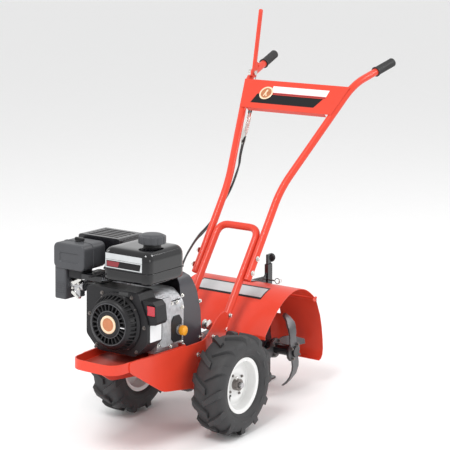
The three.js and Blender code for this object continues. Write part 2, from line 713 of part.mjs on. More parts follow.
// The recoil starter's cover: a ribbed cup with a round boss in its middle.
function recoilShape() {
  const { frontY, ring: radius, base, wall, boss, bossHeight } = recoil;
  const rear = blower.frontY - gap;
  const front = frontY + bossHeight;
  const cup = turned('y', [
    [0, frontY], [boss, frontY], [boss, front], [radius - 12, front], [radius - 5, frontY + 1],
    [radius, frontY + 3], [base, rear - 4], [base + 6, rear - 4], [base + 6, rear],
    [base - wall, rear], [radius - wall, front + wall], [boss - wall, front + wall], [0, front + wall],
  ], [0, 0, crank.height], 24);
  const rope = [starter.x, (front + rear) / 2 - 4, starter.z - 10];
  const eyelet = bar('z', starter.bushing, 0, 26, rope, 12);
  const mouth = bar('z', starter.bushing - 3, -40, 30, rope, 12);
  return cut(join(cup, eyelet), mouth);
}
part('recoil_cover', recoilShape(), plastic, powerhead);

function starterGripShape() {
  const y = (recoil.frontY + recoil.bossHeight + blower.frontY - gap) / 2 - 4;
  const z = starter.z + 16 + gap;
  const handleBar = bar('x', 7, -starter.grip / 2, starter.grip / 2, [starter.x, y, z + 12], 12);
  const neck = bar('z', 5, 0, 12, [starter.x, y, z], 12);
  return join(handleBar, neck);
}
part('starter_grip', starterGripShape(), rubber, powerhead);

// Crankshaft with its two webs and offset pin inside the crankcase.
function crankshaftShape() {
  const { radius, frontY, endY } = crank;
  const middle = cylinder.y;
  const web = (y) => slab('y', soft([[-26, -34], [26, -34], [18, 30], [-18, 30]], 10), y, y + 12);
  return join(
    bar('y', radius, frontY, middle - 24), bar('y', radius, middle + 24, endY),
    web(middle - 26), web(middle + 14),
    bar('y', 14, middle - 16, middle + 16, [0, 0, 20]),
  );
}
const crankGroup = new THREE.Group();
crankGroup.position.set(0, 0, crank.height);
powerhead.add(crankGroup);
part('crankshaft', crankshaftShape(), steel, crankGroup);

function flywheelShape() {
  const { radius, width, frontY } = flywheel;
  const bore = crank.radius + gap;
  const disc = turned('y', [
    [bore, 0], [24, 0], [24, 10], [radius - 10, 14], [radius, 14], [radius, 14 + width],
    [bore, 14 + width], [bore, 0],
  ], [0, frontY, 0]);
  const vanes = Array.from({ length: 10 }, (_, i) => {
    const vane = box([radius * 0.55, frontY + 1, -1.5], [radius - 4, frontY + 16, 1.5]);
    return vane.rotateY((2 * Math.PI * i) / 10);
  });
  return join(disc, ...vanes);
}
part('flywheel_fan', flywheelShape(), casting, crankGroup);
const drivePulley = pulleyShape(crank.pulley, crank.pulleyWidth, crank.radius + gap);
// The pitched crankshaft carries its pulley so that it lines up with the driven one.
const pitch = -powerhead.rotation.x;
const drivePulleyY = (inputShaft.pulleyY - crank.height * Math.sin(pitch)) / Math.cos(pitch);
part('drive_pulley', drivePulley, steel, crankGroup).position.y = drivePulleyY;

// Fuel tank as one mass with its contents: rounded body, seam flange and neck.
function tankShape() {
  const { left, right, frontY, rearY, bottom, top, corner } = tank;
  const { seam, seamWidth, capX, capY, neck, neckHeight } = tank;
  const plan = (by) => soft(rectangle(right - by, frontY - by, left + by, rearY + by), corner, 4);
  const body = slab('z', plan(0), bottom, top);
  const crown = slab('y', soft([
    [right, bottom - 10], [left, bottom - 10], [left, top], [right, top],
  ], 22, 4), frontY - 9, rearY + 9);
  const flangeRing = slab('z', plan(3), seam, seam + seamWidth);
  const spout = bar('z', neck, top - 4, top + neckHeight, [capX, capY, 0]);
  return join(common(body, crown), flangeRing, spout);
}
part('fuel_tank', tankShape(), gloss, powerhead);

function fuelCapShape() {
  const { radius, height, skirt, lobes } = cap;
  const outline = Array.from({ length: lobes * 3 }, (_, i) => {
    const angle = (2 * Math.PI * i) / (lobes * 3);
    const reach = i % 3 === 0 ? radius - 3 : radius;
    return [reach * Math.cos(angle), reach * Math.sin(angle)];
  });
  const body = slab('z', outline, 0, height - 6);
  const crown = turned('z', [
    [0, height - 7], [radius - 8, height - 7], [radius - 8, height - 3], [radius - 14, height], [0, height],
  ]);
  const socket = bar('z', tank.neck + cap.play, -1, tank.neckHeight - skirt);
  return cut(join(body, crown), socket);
}
const capMesh = part('fuel_cap', fuelCapShape(), greyPlastic, powerhead);
capMesh.position.set(tank.capX, tank.capY, tank.top + cap.skirt + gap);

function airCleanerShape() {
  const { left, right, frontY, rearY, bottom, top, corner, duct, ductBottom } = airCleaner;
  const shell = slab('y', soft([
    [right, bottom], [left, bottom], [left, top - 22], [left - 16, top], [right + 16, top], [right, top - 22],
  ], corner), frontY, rearY);
  const intake = soft(rectangle(right, ductBottom, right + duct, bottom + 4), 8);
  const lower = slab('y', intake, frontY + 4, rearY - 36);
  return join(shell, lower);
}
part('air_cleaner', airCleanerShape(), greyPlastic, powerhead);

function airKnobShape() {
  const { left, right, frontY, rearY, top, knob, knobHeight } = airCleaner;
  const outline = soft([[-knob * 1.6, -4], [knob * 1.6, -4], [knob * 1.6, 4], [-knob * 1.6, 4]], 4);
  const wing = slab('z', outline, 3, knobHeight);
  const hub = bar('z', knob * 0.7, 0, knobHeight - 2, [0, 0, 0], 16);
  const at = [(left + right) / 2, (frontY + rearY) / 2, top + gap];
  return join(wing, hub).translate(...at);
}
part('air_cleaner_knob', airKnobShape(), greyPlastic, powerhead);

function carburettorShape() {
  const { x, y, z, body, bowl, bowlHeight } = carburettor;
  const ductWall = airCleaner.right + airCleaner.duct + gap;
  const throat = bar('x', body, ductWall, x + 26, [0, y, z], 16);
  const float = turned('z', [
    [0, -bowlHeight], [6, -bowlHeight - 6], [9, -bowlHeight], [bowl, 4 - bowlHeight], [bowl, 0], [0, 0],
  ], [x, y, z - 4], 16);
  const elbow = bar('y', body - 3, y, cylinder.y - cylinder.head / 2 - gap, [x + 10, 0, z], 16);
  return join(throat, float, elbow);
}
part('carburettor', carburettorShape(), casting, powerhead);

function leverPlate(length, width, wall) {
  const end = width / 2;
  const outline = [[-end, -end], [length, -end * 0.7], [length, end * 0.7], [-end, end]];
  return slab('z', soft(outline, end), 0, wall);
}

// Small hand levers in front of the carburettor: choke above, fuel valve below.
const chokeLever = leverPlate(34, 12, 3).rotateX(Math.PI / 2).rotateY(-0.5);
const chokeAt = [carburettor.x - 6, carburettor.y - carburettor.body - gap - 0.5, carburettor.z + 8];
part('choke_lever', chokeLever.translate(...chokeAt), black, powerhead);
const valveLever = leverPlate(28, 11, 3).rotateX(Math.PI / 2).rotateY(0.6);
const valveAt = [carburettor.x - 8, carburettor.y - carburettor.bowl - gap - 0.5, carburettor.z - 22];
part('fuel_valve_lever', valveLever.translate(...valveAt), black, powerhead);

// Throttle lever on the bracket between the air cleaner and the tank.
const throttleAt = [-92, -300, tank.bottom + 6];
const throttle = leverPlate(58, 16, 3).rotateZ(-Math.PI / 2);
part('throttle_lever', throttle.translate(...throttleAt), greyPlastic, powerhead);

function mufflerShape() {
  const { left, right, frontY, rearY, bottom, top, shell } = muffler;
  const inset = shell + 4;
  const body = slab('y', soft(
    rectangle(right + inset, bottom, left - inset, top - inset), 18, 3,
  ), frontY + inset, rearY - inset);
  const pipeX = right + 62;
  const down = bar('z', 13, cylinder.head * 0.5 + 166, bottom + 3, [pipeX + 30, (frontY + rearY) / 2, 0], 16);
  return join(body, down);
}
part('muffler', mufflerShape(), steel, powerhead);

function mufflerGuardShape() {
  const { left, right, frontY, rearY, bottom, top } = muffler;
  const wall = 2;
  const shell = slab('y', soft(rectangle(right, bottom - 2, left, top), 10), frontY, rearY);
  const inside = slab('y', soft(
    rectangle(right + wall, bottom - 3, left - wall, top - wall), 9,
  ), frontY + wall, rearY - wall);
  const under = box([right + 12, frontY + 12, bottom - 4], [left - 12, rearY - 12, bottom + 4]);
  const count = 5;
  const spacing = (rearY - frontY - 24) / count;
  const slots = Array.from({ length: count }, (_, i) => {
    const y = frontY + 12 + spacing * (i + 0.22);
    return box([right + 22, y, top - 6], [left - 22, y + spacing * 0.5, top + 2]);
  });
  return cut(shell, inside, under, ...slots);
}
part('muffler_guard', mufflerGuardShape(), plastic, powerhead);

const rockerAt = {
  x: switchBox.left - rocker.width / 2 - 9, y: switchBox.frontY + 1, z: switchBox.bottom + 46,
};

// The switch box hangs on the housing's sloped shoulder.
function switchBoxShape() {
  const { left, frontY, rearY, bottom, top } = switchBox;
  const { halfWidth, shoulder, slope, top: crown } = blower;
  const wall = halfWidth + gap * 2;
  const high = wall - (slope * (top - shoulder)) / (crown - shoulder);
  const outline = [
    [wall, bottom], [left - 6, bottom + 4], [left, bottom + 14], [left - 6, top - 12],
    [left - 18, top], [high, top], [wall, shoulder],
  ];
  const seat = box(
    [rockerAt.x - rocker.width / 2 - gap, frontY - 1, rockerAt.z - rocker.height / 2 - gap],
    [rockerAt.x + rocker.width / 2 + gap, frontY + rocker.depth, rockerAt.z + rocker.height / 2 + gap],
  );
  return cut(slab('y', outline, frontY, rearY), seat);
}
part('switch_box', switchBoxShape(), plastic, powerhead);

function rockerShape() {
  const half = rocker.height / 2 - 1.5;
  const outline = [[3, -half + 3], [-2, -half], [-1, 0], [-4, half], [3, half - 2.5]];
  const width = rocker.width / 2;
  return slab('x', outline, -width, width).translate(rockerAt.x, rockerAt.y, rockerAt.z);
}
part('switch_rocker', rockerShape(), red, powerhead);

function dipstickShape() {
  const { radius, length } = dipstick;
  const start = block.left + 8 + gap;
  return turned('x', [
    [0, start - 40], [3, start - 40], [3, start], [radius, start], [radius, start + 8],
    [radius * 0.6, start + 10], [radius * 0.6, start + length - 6], [0, start + length - 6],
  ], [0, dipstick.y, dipstick.z], 16);
}
part('oil_dipstick', dipstickShape(), amber, powerhead);

// ---------------------------------------------------------------- belt drive

const beltTop = deck.height + crank.height * Math.cos(pitch) - drivePulleyY * Math.sin(pitch);

// Belt cover: arched from behind and rounded down towards the rear.
function beltCoverShape() {
  const { left, right, frontY, rearY, bottom, top, wall, arch } = beltCover;
  const front = (by) => slab('y', soft(
    rectangle(right + by, bottom - (by ? 1 : 0), left - by, top - by), arch, 5,
  ).filter(([, z]) => z > (bottom + top) / 2).concat([
    [right + by, bottom - (by ? 1 : 0)], [left - by, bottom - (by ? 1 : 0)],
  ]), frontY - 20, rearY + 20);
  const side = (by) => slab('x', [
    [frontY - (by ? 1 : 0), bottom - (by ? 1 : 0)], [rearY - by, bottom - (by ? 1 : 0)],
    [rearY - 6 - by, 386], [rearY - 26 - by, 458 - by], [rearY - 54 - by, 512 - by],
    [rearY - 86, top - by], [frontY - (by ? 1 : 0), top - by],
  ], right - 5, left + 5);
  return cut(common(front(0), side(0)), common(front(wall), side(wall)));
}
part('belt_cover', beltCoverShape(), coverGrey);

// The belt runs slack on both pulleys while the drive is in neutral.
function beltShape() {
  const { slack } = belt;
  const y = inputShaft.pulleyY;
  const loop = (depth) => {
    const upper = crank.pulley - belt.depth + slack + depth;
    const lower = drivenPulley.radius - belt.depth + slack + depth;
    const span = beltTop - inputZ;
    const lean = Math.asin((lower - upper) / span);
    const arc = (centre, radius, from, to) => Array.from({ length: 13 }, (_, i) => {
      const angle = from + ((to - from) * i) / 12;
      return [radius * Math.cos(angle), centre + radius * Math.sin(angle)];
    });
    return [
      ...arc(beltTop, upper, lean, Math.PI - lean),
      ...arc(inputZ, lower, Math.PI - lean, 2 * Math.PI + lean),
    ];
  };
  const half = belt.width / 2;
  return cut(slab('y', loop(belt.depth), y - half, y + half), slab('y', loop(0), y - half - 1, y + half + 1));
}
part('drive_belt', beltShape(), rubber);

// ---------------------------------------------------------------- handlebars

function bracketShape() {
  const { half, radius, corner, base, top } = leg;
  const path = bentPath([
    [-half, ...base], [-half, ...top], [half, ...top], [half, ...base],
  ], corner);
  return swept(path, ring(radius, 10), 20);
}
part('handle_bracket', bracketShape(), paint);

const handlePath = (side) => bentPath(
  [handle.start, handle.knee, handle.elbow, handle.end].map(([x, y, z]) => [side * x, y, z]),
  handle.bend,
);
for (const [label, side] of flanks) {
  part(`handlebar_${label}`, swept(handlePath(side), ring(tube.radius, 10), 20), paint);
}

// A grip pushed over the end of a tube, closed at its outer end.
function gripShape() {
  const { radius, grip, gripLength } = tube;
  return turned('y', [
    [radius + gap, 4 - gripLength], [grip, 4 - gripLength], [grip, 0], [grip - 3, 5], [0, 5], [0, gap],
    [radius + gap, gap], [radius + gap, 4 - gripLength],
  ], [0, 0, 0], 20);
}
for (const [label, side] of flanks) {
  const end = new THREE.Vector3(side * handle.end[0], handle.end[1], handle.end[2]);
  const elbow = new THREE.Vector3(side * handle.elbow[0], handle.elbow[1], handle.elbow[2]);
  const grip = part(`grip_${label}`, gripShape(), rubber);
  grip.position.copy(end);
  grip.quaternion.setFromUnitVectors(new THREE.Vector3(0, 1, 0), end.sub(elbow).normalize());
}

// Console panel: a folded plate on the front of both tubes.
const rise = new THREE.Vector2(handle.elbow[1] - handle.knee[1], handle.elbow[2] - handle.knee[2]);
const handleHalf = (y) => THREE.MathUtils.mapLinear(
  y, handle.knee[1], handle.elbow[1], handle.knee[0], handle.elbow[0],
);
const panelGroup = new THREE.Group();
const panelZ = handle.knee[2] + ((panel.centreY - handle.knee[1]) * rise.y) / rise.x;
panelGroup.position.set(0, panel.centreY, panelZ);
panelGroup.rotation.x = rise.angle();
chassis.add(panelGroup);

function panelShape() {
  const { height, wall, flange, overlap } = panel;
  const half = height / 2;
  const share = rise.x / rise.length();
  const widthAt = (v) => handleHalf(panel.centreY + v * share) + overlap;
  const face = slab('z', [
    [-widthAt(-half), -half], [widthAt(-half), -half], [widthAt(half), half], [-widthAt(half), half],
  ], tube.radius + gap, tube.radius + gap + wall);
  const fold = (v, inside) => {
    const reach = widthAt(v) - overlap - tube.radius * 1.6;
    const low = Math.min(v, v + inside * wall);
    const crest = tube.radius + gap + wall;
    return box([-reach, low, crest - flange], [reach, low + wall, crest]);
  };
  return join(face, fold(-half, 1), fold(half, -1));
}
part('handle_panel', panelShape(), paint, panelGroup);

// ---------------------------------------------------------------- control lever and cables

const leverGroup = new THREE.Group();
leverGroup.position.set(lever.x, ...lever.pivot);
chassis.add(leverGroup);

function leverShape() {
  const { thickness, width, hub, hole, anchor, eye, pivot, top } = lever;
  const [dy, dz] = [top[0] - pivot[0], top[1] - pivot[1]];
  const length = Math.hypot(dy, dz);
  const across = [(width / 2) * (dz / length), (-width / 2) * (dy / length)];
  const half = thickness / 2;
  const arm = slab('x', soft([
    [-across[0], -across[1]], [across[0], across[1]],
    [dy + across[0], dz + across[1]], [dy - across[0], dz - across[1]],
  ], width / 2, 4), -half, half);
  const disc = bar('x', hub, -half, half);
  const reach = [anchor[0] - pivot[0], anchor[1] - pivot[1]];
  const ear = slab('x', soft([
    [0, 0], [reach[0] + eye, reach[1] - eye], [reach[0] + eye, reach[1] + eye], [10, reach[1] + 20],
  ], 6), -half, half);
  const pivotHole = bar('x', hole + runningGap, -half - 1, half + 1, [0, 0, 0], 16);
  const eyeHole = bar('x', 3.4, -half - 1, half + 1, [0, ...reach], 12);
  return cut(join(arm, disc, ear), pivotHole, eyeHole);
}
part('control_lever', leverShape(), paint, leverGroup);

// The lever's pivot bolt stands on a saddle that hugs the handlebar.
function leverPivotShape() {
  const { thickness, hole, x } = lever;
  const head = thickness / 2 + runningGap;
  const tubeX = -handleHalf(lever.pivot[0]);
  const inner = tubeX - x;
  const bolt = bar('x', hole, inner + tube.radius - 2, head + 5, [0, 0, 0], 16);
  const nut = slab('x', ring(9, 6), head, head + 6);
  const boss = bar('x', 13, inner + tube.radius - 8, -head, [0, 0, 0], 20);
  return join(bolt, nut, boss);
}
const pivotTube = swept(handlePath(-1), ring(tube.radius + gap, 10), 20)
  .translate(-lever.x, -lever.pivot[0], -lever.pivot[1]);
part('lever_pivot', cut(leverPivotShape(), pivotTube), zinc, leverGroup);

// Control cables clipped along the right handlebar, from below the lever to the belt idler.
const forwardRoute = [
  [-170, 684, 934], [-162, 650, 880], [-150, 602, 826], [-132, 556, 790], [-114, 520, 766],
  [-100, 474, 734], [-104, 444, 686], [-120, 404, 630], [-128, 366, 588], [-129, 330, 568],
  [-122, 285, 556], [-100, 215, 540], [-76, 140, 515], [-58, 78, 472], [-50, 46, 420], [-48, 38, 372],
];
const reverseRoute = [
  [-181, 687, 934], [-173, 655, 876], [-161, 610, 820], [-143, 566, 782], [-124, 530, 754],
  [-110, 486, 720], [-114, 454, 674], [-130, 412, 618], [-139, 368, 572], [-139, 328, 550],
  [-131, 280, 538], [-109, 212, 522], [-86, 140, 496], [-68, 82, 454], [-61, 54, 408], [-59, 46, 362],
];
const cableShape = (route) => swept(
  new THREE.CatmullRomCurve3(route.map((p) => new THREE.Vector3(...p))), ring(cable.radius, cable.sides), 26,
);
part('forward_cable', cableShape(forwardRoute), black);
part('reverse_cable', cableShape(reverseRoute), black);

// The idler swings inside the belt's loop on a bolt in the gear case's front wall.
const idlerGroup = new THREE.Group();
idlerGroup.position.set(...idler.pivot);
chassis.add(idlerGroup);

const idlerWheelAt = [idler.reach[0], inputShaft.pulleyY - idler.pivot[1], idler.reach[1]];

function idlerArmShape() {
  const { wall, bolt, reach, eye, wheelWidth } = idler;
  const length = Math.hypot(...reach);
  const arm = slab('y', soft(rectangle(-eye, -eye, length + eye, eye), eye, 4), -wall, 0);
  arm.rotateY(-Math.atan2(reach[1], reach[0]));
  const front = idlerWheelAt[1] - wheelWidth / 2 - 3;
  const rear = idlerWheelAt[1] + wheelWidth / 2 + 1;
  const at = [reach[0], 0, reach[1]];
  const pin = bar('y', bolt, front, -wall / 2, at, 12);
  const head = bar('y', bolt + 4, front - 5, front, at, 12);
  const shoulder = bar('y', bolt + 3, rear, -wall / 2, at, 12);
  return join(arm, pin, head, shoulder);
}
part('idler_arm', idlerArmShape(), zinc, idlerGroup);

function idlerWheelShape() {
  const { radius, wheelWidth, bolt } = idler;
  const half = wheelWidth / 2;
  const bore = bolt + runningGap;
  return turned('y', [
    [bore, -half], [radius - 6, -half + 2], [radius, -half], [radius - 2, 0], [radius, half],
    [radius - 6, half - 2], [bore, half], [bore, -half],
  ]);
}
part('idler_wheel', idlerWheelShape(), white, idlerGroup).position.set(...idlerWheelAt);

// The origin is on the ground, under the middle of the machine's length.
const bounds = new THREE.Box3().setFromObject(model);
model.position.y = -(bounds.min.y + bounds.max.y) / 2;

export default model;
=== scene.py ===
"""Rear-tine tiller: looks for the packed frame, laid out as an add-on and run as a script."""

import json
import math

import bmesh
import bpy
from mathutils import Matrix, Vector
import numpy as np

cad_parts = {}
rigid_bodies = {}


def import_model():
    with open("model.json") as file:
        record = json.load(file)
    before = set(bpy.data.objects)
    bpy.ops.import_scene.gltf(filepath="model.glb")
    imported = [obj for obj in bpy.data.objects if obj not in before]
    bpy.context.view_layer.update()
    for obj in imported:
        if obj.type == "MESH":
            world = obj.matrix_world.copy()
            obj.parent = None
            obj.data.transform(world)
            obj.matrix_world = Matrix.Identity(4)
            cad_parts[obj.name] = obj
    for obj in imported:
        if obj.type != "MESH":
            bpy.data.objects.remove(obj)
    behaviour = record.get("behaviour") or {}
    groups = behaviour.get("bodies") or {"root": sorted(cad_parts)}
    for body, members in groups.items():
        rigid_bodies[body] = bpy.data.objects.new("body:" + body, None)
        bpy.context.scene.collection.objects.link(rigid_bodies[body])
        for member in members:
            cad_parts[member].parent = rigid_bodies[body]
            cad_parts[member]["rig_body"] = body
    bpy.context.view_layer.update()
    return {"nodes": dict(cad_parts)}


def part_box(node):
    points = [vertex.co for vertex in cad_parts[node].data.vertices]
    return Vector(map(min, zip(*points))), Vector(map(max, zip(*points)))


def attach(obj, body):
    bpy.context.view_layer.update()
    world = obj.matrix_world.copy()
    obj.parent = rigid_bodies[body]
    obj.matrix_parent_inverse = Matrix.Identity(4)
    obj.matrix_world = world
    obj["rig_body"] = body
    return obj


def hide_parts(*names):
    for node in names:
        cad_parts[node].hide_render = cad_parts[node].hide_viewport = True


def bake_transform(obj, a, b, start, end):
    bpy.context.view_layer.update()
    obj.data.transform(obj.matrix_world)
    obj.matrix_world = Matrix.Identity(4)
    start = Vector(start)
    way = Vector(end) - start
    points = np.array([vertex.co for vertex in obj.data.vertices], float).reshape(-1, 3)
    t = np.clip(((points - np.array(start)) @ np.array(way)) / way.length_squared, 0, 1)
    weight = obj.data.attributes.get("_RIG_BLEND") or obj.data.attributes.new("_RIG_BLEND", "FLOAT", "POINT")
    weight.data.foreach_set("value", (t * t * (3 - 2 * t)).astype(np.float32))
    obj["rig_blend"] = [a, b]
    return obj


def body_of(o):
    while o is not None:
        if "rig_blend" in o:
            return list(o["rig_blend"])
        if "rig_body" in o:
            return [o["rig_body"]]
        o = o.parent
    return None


bl_info = {
    "name": "Tiller Looks",
    "version": (1, 0, 0),
    "blender": (4, 5, 0),
    "location": "3D View > Sidebar > Tiller",
    "description": "Builds the visible pieces, finishes and stage of a rear-tine tiller",
    "category": "Object",
}

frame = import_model()
AXLE = (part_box("axle_shaft")[0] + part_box("axle_shaft")[1]) / 2
ENGINE_PITCH = Matrix.Rotation(math.radians(-2.0), 4, "X")
DECK_HEIGHT = 298.0


# ------------------------------------------------------------------ places

def machine_place():
    """Millimetres from under the axle, as the frame's metres."""
    return Matrix.Translation((0, AXLE.y, 0)) @ Matrix.Scale(0.001, 4)


def engine_place():
    """Millimetres on the pitched engine tray, from under the axle."""
    return machine_place() @ Matrix.Translation((0, 0, DECK_HEIGHT)) @ ENGINE_PITCH


def group_place(x, y, z):
    """Millimetres from a point of the machine."""
    return machine_place() @ Matrix.Translation((x, y, z))


MACHINE = machine_place()
ENGINE = engine_place()


# ------------------------------------------------------------------ shapes

class Shape:
    """Points in millimetres and the faces between them."""

    def __init__(self, points=(), faces=()):
        self.points = [Vector(p) for p in points]
        self.faces = [list(f) for f in faces]

    def moved(self, matrix):
        return Shape([matrix @ p for p in self.points], self.faces)

    def shifted(self, x, y, z):
        return self.moved(Matrix.Translation((x, y, z)))

    def turned(self, degrees, axis):
        return self.moved(Matrix.Rotation(math.radians(degrees), 4, axis))

    def mirrored(self):
        return Shape([Vector((-p.x, p.y, p.z)) for p in self.points], [f[::-1] for f in self.faces])

    def __add__(self, other):
        start = len(self.points)
        return Shape(self.points + other.points, self.faces + [[i + start for i in f] for f in other.faces])


def outlined(axis, u, v, depth):
    """A point of a flat outline: (Y, Z) along x, (X, Z) along y, (X, Y) along z."""
    return {"x": (depth, u, v), "y": (u, depth, v), "z": (u, v, depth)}[axis]


def prism(axis, outline, start, end):
    """A flat outline pushed along an axis."""
    count = len(outline)
    points = [outlined(axis, u, v, start) for u, v in outline]
    points += [outlined(axis, u, v, end) for u, v in outline]
    faces = [[i, (i + 1) % count, (i + 1) % count + count, i + count] for i in range(count)]
    return Shape(points, faces + [list(range(count))[::-1], list(range(count, 2 * count))])


def corners_of(low, high):
    """The four corners between two opposite ones."""
    return [(low[0], low[1]), (high[0], low[1]), (high[0], high[1]), (low[0], high[1])]


def block(low, high):
    """A plain block between two opposite corners."""
    return prism("z", corners_of(low, high), low[2], high[2])


def spun(axis, profile, sides=64, centre=(0, 0, 0)):
    """A profile of (radius, distance) turned about an axis; a radius of 0 closes an end."""
    points, rings = [], []
    for radius, along in profile:
        if radius < 1e-6:
            rings.append([len(points)] * sides)
            points.append(outlined_ring(axis, 0, 0, along))
            continue
        rings.append(list(range(len(points), len(points) + sides)))
        for i in range(sides):
            turn = 2 * math.pi * i / sides
            points.append(outlined_ring(axis, radius * math.cos(turn), radius * math.sin(turn), along))
    faces = []
    for low, high in zip(rings, rings[1:]):
        for i in range(sides):
            j = (i + 1) % sides
            face = [low[i], low[j], high[j], high[i]]
            face = [n for k, n in enumerate(face) if n not in face[:k]]
            if len(face) > 2:
                faces.append(face)
    return Shape(points, faces).shifted(*centre)


def outlined_ring(axis, u, v, along):
    """A point of a turned profile, along and around an axis."""
    return {"x": (along, u, v), "y": (v, along, u), "z": (u, v, along)}[axis]


def closed_ring(profile):
    """The profile back to its own start, for a turned wall with a hole through it."""
    return [*profile, profile[0]]


def rod(axis, radius, start, end, centre=(0, 0, 0), sides=32, edge=0.6):
    """A round bar with broken edges."""
    half = [(0, start), (radius - edge, start), (radius, start + edge)]
    return spun(axis, [*half, (radius, end - edge), (radius - edge, end), (0, end)], sides, centre)


def eased(corners, radius, steps=8, closed=True):
    """A line of points with rounded corners."""
    corners = [Vector(c) for c in corners]
    count = len(corners)
    found = []
    for i, corner in enumerate(corners):
        if not closed and i in (0, count - 1):
            found.append(corner)
            continue
        back = corners[i - 1] - corner
        on = corners[(i + 1) % count] - corner
        reach = min(radius, back.length * 0.48, on.length * 0.48)
        start, end = corner + back.normalized() * reach, corner + on.normalized() * reach
        for k in range(steps + 1):
            t = k / steps
            found.append(start * (1 - t) ** 2 + corner * (2 * t * (1 - t)) + end * t**2)
    return found


def rounded_box(low, high, radius, steps=8):
    """A rectangle's outline with round corners."""
    return [tuple(p) for p in eased(corners_of(low, high), radius, steps)]


def smooth_line(points, steps=8):
    """A Catmull-Rom line through points."""
    points = [Vector(p) for p in points]
    padded = [points[0] * 2 - points[1], *points, points[-1] * 2 - points[-2]]
    found = []
    for a, b, c, d in zip(padded, padded[1:], padded[2:], padded[3:]):
        for k in range(steps):
            t = k / steps
            bend, twist = 2 * a - 5 * b + 4 * c - d, 3 * b - a - 3 * c + d
            found.append(0.5 * (2 * b + (c - a) * t + bend * t**2 + twist * t**3))
    return [*found, points[-1]]


def piped(line, radius, sides=20, flatten=None):
    """A round bar along a line; flatten(share) gives its two half-width factors."""
    line = [Vector(p) for p in line]
    total = len(line)
    along = [(line[min(i + 1, total - 1)] - line[max(i - 1, 0)]).normalized() for i in range(total)]
    side = along[0].orthogonal().normalized()
    if abs(along[0].x) < 0.9:
        side = (Vector((1, 0, 0)) - along[0] * along[0].x).normalized()
    points, faces = [], []
    for i, centre in enumerate(line):
        side = (side - along[i] * side.dot(along[i])).normalized()
        other = along[i].cross(side)
        wide, tall = flatten(i / (total - 1)) if flatten else (1, 1)
        for k in range(sides):
            turn = 2 * math.pi * k / sides
            across, up = radius * wide * math.cos(turn), radius * tall * math.sin(turn)
            points.append(centre + side * across + other * up)
    for i in range(total - 1):
        for k in range(sides):
            a, b = i * sides + k, i * sides + (k + 1) % sides
            faces.append([a, b, b + sides, a + sides])
    faces.append(list(range(sides))[::-1])
    faces.append(list(range((total - 1) * sides, total * sides)))
    return Shape(points, faces)


def lofted(sections):
    """A skin over outlines with equal counts of points, closed at both ends."""
    count = len(sections[0])
    points = [p for section in sections for p in section]
    faces = []
    for i in range(len(sections) - 1):
        for k in range(count):
            a, b = i * count + k, i * count + (k + 1) % count
            faces.append([a, b, b + count, a + count])
    faces.append(list(range(count))[::-1])
    faces.append(list(range(len(points) - count, len(points))))
    return Shape(points, faces)


def raised_box(low, high, corner, levels, steps=8):
    """Rounded boxes stacked up Z: each level is (height, inset)."""
    sections = []
    for height, inset in levels:
        near, far = (low[0] + inset, low[1] + inset), (high[0] - inset, high[1] - inset)
        ring = rounded_box(near, far, max(corner - inset * 0.6, 2), steps)
        sections.append([(x, y, height) for x, y in ring])
    return lofted(sections)


def helix(start, end, radius, turns, steps=14):
    """The line of a coil spring."""
    start, end = Vector(start), Vector(end)
    along = (end - start).normalized()
    side = along.orthogonal().normalized()
    other = along.cross(side)
    count = turns * steps
    found = []
    for i in range(count + 1):
        turn = 2 * math.pi * i / steps
        found.append(
            start.lerp(end, i / count) + side * (radius * math.cos(turn)) + other * (radius * math.sin(turn)))
    return found


# ------------------------------------------------------------------ objects

def object_of(name, shape, place, edge=0.0, sharp=38.0, segments=2):
    """A closed mesh object at the origin, with softened edges and even shading."""
    mesh = bpy.data.meshes.new(name)
    mesh.from_pydata([place @ p for p in shape.points], [], shape.faces)
    thing = bpy.data.objects.new(name, mesh)
    bpy.context.scene.collection.objects.link(thing)
    soften(thing, edge, sharp, segments)
    return thing


def soften(thing, edge, sharp, segments, outward=True):
    """Merges doubles, turns faces outward, bevels edges sharper than an angle by edge millimetres."""
    work = bmesh.new()
    work.from_mesh(thing.data)
    bmesh.ops.remove_doubles(work, verts=work.verts, dist=2e-6)
    if outward:
        bmesh.ops.recalc_face_normals(work, faces=work.faces)
    if edge > 0:
        limit = math.radians(sharp)
        edges = [e for e in work.edges if e.is_manifold and e.calc_face_angle(0) > limit]
        bmesh.ops.bevel(
            work, geom=edges, offset=edge / 1000, offset_type="OFFSET", segments=segments,
            profile=0.5, affect="EDGES", clamp_overlap=True,
        )
    limit = math.radians(42)
    for line in work.edges:
        line.smooth = line.is_manifold and line.calc_face_angle(0) < limit
    for face in work.faces:
        face.smooth = True
    work.to_mesh(thing.data)
    work.free()
    even = thing.modifiers.new("even_shading", "WEIGHTED_NORMAL")
    even.keep_sharp = True


def piece(name, shape, finish, body, place=MACHINE, edge=0.0, sharp=38.0, segments=2, replaces=()):
    """A finished piece on a body, which may stand for CAD nodes."""
    thing = object_of(name, shape, place, edge, sharp, segments)
    return settled(thing, finish, body, replaces)


def settled(thing, finish, body, replaces=()):
    """Gives an object its finish, its body and the CAD nodes it stands for."""
    thing.data.materials.clear()
    thing.data.materials.append(bpy.data.materials[finish])
    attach(thing, body)
    if replaces:
        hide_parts(*replaces)
    return thing


def refined(node, finish, edge=1.0, sharp=30.0, segments=2):
    """A merged copy of a CAD node with softened edges, which stands for it."""
    source = frame["nodes"][node]
    mesh = source.data.copy()
    thing = bpy.data.objects.new(node + "_skin", mesh)
    bpy.context.scene.collection.objects.link(thing)
    work = bmesh.new()
    work.from_mesh(mesh)
    bmesh.ops.remove_doubles(work, verts=work.verts, dist=5e-6)
    bmesh.ops.dissolve_limit(work, angle_limit=math.radians(0.6), verts=work.verts, edges=work.edges)
    work.to_mesh(mesh)
    work.free()
    soften(thing, edge, sharp, segments, outward=False)
    return settled(thing, finish, body_of(source)[0], [node])


